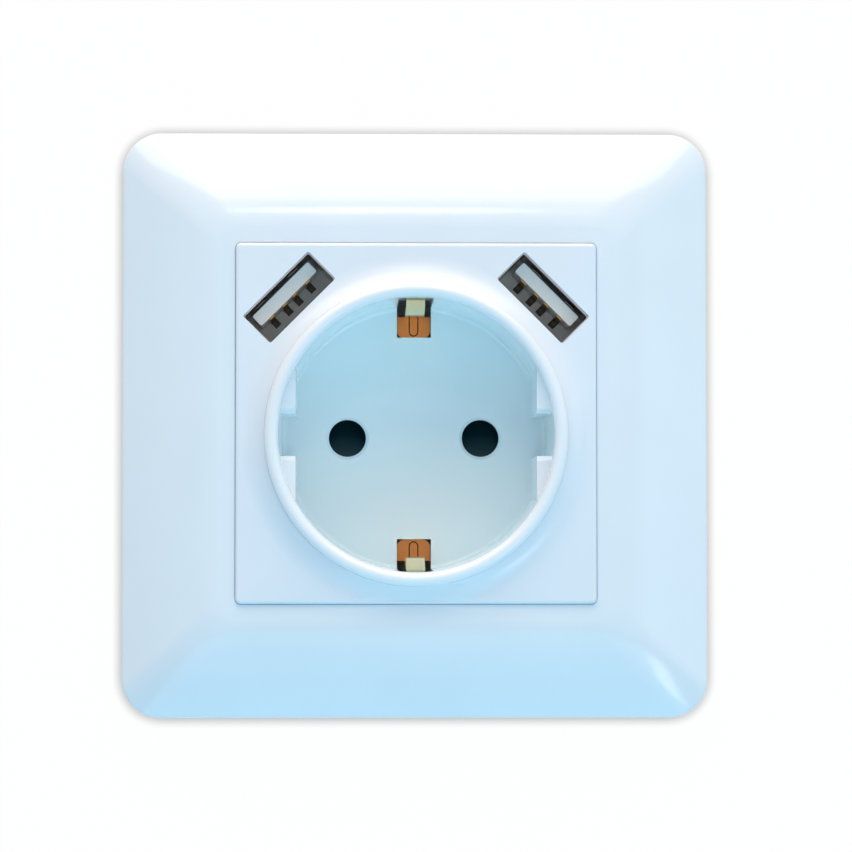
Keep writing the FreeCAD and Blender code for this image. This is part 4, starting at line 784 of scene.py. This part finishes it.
shutter_plastic = surface("shutter_plastic", SHUTTER_COLOR, roughness=0.3, shade=0.1)
shutter_shader = shutter_plastic.node_tree.nodes["Principled BSDF"]
shutter_shader.inputs["Specular IOR Level"].default_value = SHUTTER_SHINE
cad_copy(
    "pin_shutter_bar", "pin_shutter", shutter_plastic, soft=0.08 * MM,
    body="shutter",
)
spring_steel = surface(
    "spring_steel", SPRING_STEEL, roughness=0.25, grain=900.0, depth=0.01 * MM, metal=1.0, shade=0.1
)
wire = arc((SPRING_RADIUS, SPRING_WIRE), SPRING_WIRE, 0, 360 - 360 / WIRE_SIDES, WIRE_SIDES - 1)
for side in ("left", "right"):
    low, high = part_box(f"{side}_shutter_spring")
    foot = Vector(((low.x + high.x) / 2, (low.y + high.y) / 2, low.z))
    rise = high.z - low.z - SPRING_WIRE * 2
    coil = helix(wire, foot, "up", SPRING_TURNS, rise, COIL_STEPS)
    spring = piece(
        f"{side}_coil_spring", coil, spring_steel, [f"{side}_shutter_spring"],
        sharp=60.0,
    )
    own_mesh(spring)

# USB outlets
# Each outlet is a folded steel shell round a moulded insulator, whose tongue carries four gilt contacts.
# It stands behind its slanted aperture in the plate, on the small board of the charger.
SHELL_STEEL = (0.46, 0.42, 0.42)
INSULATOR = (0.76, 0.76, 0.74)
INSULATOR_BACK_PAINTED_SHADE = (0.80, 0.90, 0.89)
INSULATOR_HOLES_PAINTED_SHADE = (0.02, 0.014, 0.010)
GOLD = (0.42, 0.25, 0.09)
OUTLET_DEPTH = 8.2 * MM

shell_steel = surface(
    "shell_steel", SHELL_STEEL, roughness=0.25, grain=1200.0, depth=0.01 * MM, metal=1.0, shade=0.08
)
outlet_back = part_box("left_usb_shell")[0].y + OUTLET_DEPTH
# Painted shade: deeper in the outlet the insulator's back wall turns a cooler grey-green, and behind it
# the contact holes turn near black.
insulator_plastic = surface(
    "insulator_plastic", INSULATOR, roughness=0.35, shade=0.03,
    deeper=[
        (outlet_back - MM, outlet_back - MM / 2, INSULATOR_BACK_PAINTED_SHADE),
        (outlet_back + MM / 10, outlet_back + MM / 5, INSULATOR_HOLES_PAINTED_SHADE),
    ],
)
contact_gold = surface(
    "contact_gold", GOLD, roughness=0.25, grain=1200.0, depth=0.01 * MM, metal=1.0, shade=0.1
)
for side in ("left", "right"):
    cad_copy(f"{side}_outlet_shell", f"{side}_usb_shell", shell_steel, soft=0.05 * MM)
    cad_copy(
        f"{side}_outlet_insulator", f"{side}_usb_insulator", insulator_plastic,
        soft=0.1 * MM,
    )
    cad_copy(
        f"{side}_outlet_contacts", f"{side}_usb_contacts", contact_gold,
        soft=0.03 * MM,
    )

# Support ring
# A galvanised steel ring behind the plate carries the whole insert, with slots for the box's screws.
# Its strap is held to the housing by four rivets, and bent ears at the sides bear the claws.
RING_STEEL = (0.62, 0.62, 0.60)
RIVET_STEEL = (0.66, 0.65, 0.62)

ring_steel = surface(
    "ring_steel", RING_STEEL, roughness=0.34, grain=700.0, metal=1.0, shade=0.05, spangle=700.0
)
rivet_steel = surface(
    "rivet_steel", RIVET_STEEL, roughness=0.28, grain=900.0, depth=0.01 * MM, metal=1.0, shade=0.1
)
cad_copy("support_ring_plate", "support_ring", ring_steel, soft=0.12 * MM)
cad_copy("ring_strap_rivets", "strap_rivets", rivet_steel, soft=0.1 * MM)

# Spreading claws
# Each claw is folded from zinc-plated strip with two teeth and swings on a pin through the ring's
# ears. A slotted screw with a coarse thread draws it outwards against the box's wall.
CLAW_ZINC = (0.62, 0.60, 0.52)
SCREW_ZINC = (0.68, 0.63, 0.50)
THREAD_START = 1.5 * MM
THREAD_PITCH = 0.7 * MM
THREAD_DEPTH = 0.36 * MM
THREAD_STEPS = 32
GROOVE_SHARE = 0.46
SHANK_RADIUS = 1.75 * MM

claw_steel = surface(
    "claw_steel", CLAW_ZINC, roughness=0.32, grain=700.0, metal=1.0, shade=0.05, spangle=1100.0
)
screw_steel = surface(
    "screw_steel", SCREW_ZINC, roughness=0.25, grain=900.0, depth=0.01 * MM, metal=1.0, shade=0.1
)
groove = [
    (SHANK_RADIUS - THREAD_DEPTH, 0.0),
    (SHANK_RADIUS + THREAD_DEPTH / 4, THREAD_PITCH * GROOVE_SHARE),
    (SHANK_RADIUS + THREAD_DEPTH / 4, -THREAD_PITCH * GROOVE_SHARE),
]
for side in ("left", "right"):
    claw = f"{side}_claw"
    cad_copy(f"{side}_claw_strip", claw, claw_steel, soft=0.12 * MM, body=claw)
    cad_copy(
        f"{side}_claw_hinge_pin", f"{side}_claw_pin", rivet_steel, soft=0.05 * MM
    )
    low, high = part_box(f"{side}_claw_screw")
    start = Vector(((low.x + high.x) / 2, THREAD_START, (low.z + high.z) / 2))
    turns = math.ceil((high.y - THREAD_START) / THREAD_PITCH) + 1
    thread = helix(groove, start, "in", turns, turns * THREAD_PITCH, THREAD_STEPS)
    screw = combine(cad_shape(f"{side}_claw_screw"), [thread])
    piece(
        f"{side}_slotted_screw", screw, screw_steel, [f"{side}_claw_screw"],
        sharp=30.0,
    )

# Base housing and cover
# The moulded housing holds the contacts, the clamps and the charger, with wire holes and ribs in its
# wall. A flat cover with vents closes it from behind and is held by two sunk screws.
HOUSING_COLOR = (0.70, 0.70, 0.68)
COVER_COLOR = (0.62, 0.62, 0.60)

housing_plastic = surface(
    "housing_plastic", HOUSING_COLOR, roughness=0.42, grain=1200.0, depth=0.03 * MM, shade=0.03
)
cover_plastic = surface(
    "cover_plastic", COVER_COLOR, roughness=0.42, grain=1200.0, depth=0.03 * MM, shade=0.03
)
cad_copy("socket_housing", "base_housing", housing_plastic)
cad_copy("housing_rear_cover", "rear_cover", cover_plastic, soft=0.15 * MM)
cad_copy("rear_cover_screws", "cover_screws", screw_steel, soft=0.08 * MM)

# Contacts and terminals
# Folded brass leaves grip each pin, and their tails run down into cage clamps in the housing. The
# clamps are nickel-plated, three with the earth's, and each has a slotted screw.
BRASS = (0.78, 0.58, 0.28)
CLAMP_NICKEL = (0.70, 0.64, 0.50)

contact_brass = surface(
    "contact_brass", BRASS, roughness=0.28, grain=900.0, depth=0.01 * MM, metal=1.0, shade=0.1,
    stretch=(1.0, 0.25, 1.0),
)
clamp_metal = surface(
    "clamp_metal", CLAMP_NICKEL, roughness=0.3, grain=900.0, depth=0.01 * MM, metal=1.0, shade=0.08
)
for line in ("live", "neutral"):
    cad_copy(
        f"{line}_pin_contact", f"{line}_contact", contact_brass, soft=0.05 * MM
    )
for line in ("live", "earth", "neutral"):
    cad_copy(f"{line}_terminal_clamp", f"{line}_clamp", clamp_metal, soft=0.1 * MM)
cad_copy("clamp_screws", "terminal_screws", screw_steel, soft=0.08 * MM)

# USB charger
# Two laminate boards are joined by four gilt header pins: one stands behind the outlets, and one at the
# back with the transformer, the control chip and two capacitors in dark sleeves with bare tops.
LAMINATE = (0.03, 0.18, 0.07)
FERRITE = (0.03, 0.03, 0.032)
WIRE_TAPE = (0.75, 0.62, 0.15)
CAN_TOP = (0.62, 0.63, 0.65)
CAN_SLEEVE = (0.02, 0.03, 0.09)
RESIN = (0.02, 0.02, 0.02)
SLEEVE_START = 0.30 * MM
SLEEVE_END = 0.34 * MM

laminate = surface("board_laminate", LAMINATE, roughness=0.4, grain=3000.0, shade=0.1)
ferrite = surface("ferrite", FERRITE, roughness=0.55, grain=1200.0, depth=0.03 * MM, shade=0.15)
winding = surface(
    "winding", WIRE_TAPE, roughness=0.4, grain=4000.0, depth=0.08 * MM, shade=0.15,
    stretch=(0.03, 1.0, 0.03),
)
chip_resin = surface("chip_resin", RESIN, roughness=0.5, grain=2500.0, shade=0.1)
cad_copy("outlet_board", "usb_board", laminate)
cad_copy("converter_board", "charger_board", laminate)
cad_copy("board_header_pins", "header_pins", contact_gold)
cad_copy("control_chip", "controller_chip", chip_resin, soft=0.05 * MM)
cad_copy("transformer_ferrite", "transformer_core", ferrite, soft=0.1 * MM)
cad_copy("transformer_winding", "transformer_bobbin", winding, soft=0.1 * MM)
for end in ("input", "output"):
    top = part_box(f"{end}_capacitor")[0].y
    sleeve = surface(
        f"{end}_sleeve", CAN_TOP, roughness=0.35, depth=0.01 * MM, shade=0.05,
        deeper=[(top + SLEEVE_START, top + SLEEVE_END, CAN_SLEEVE)],
    )
    cad_copy(f"{end}_capacitor_can", f"{end}_capacitor", sleeve, sharp=50.0)
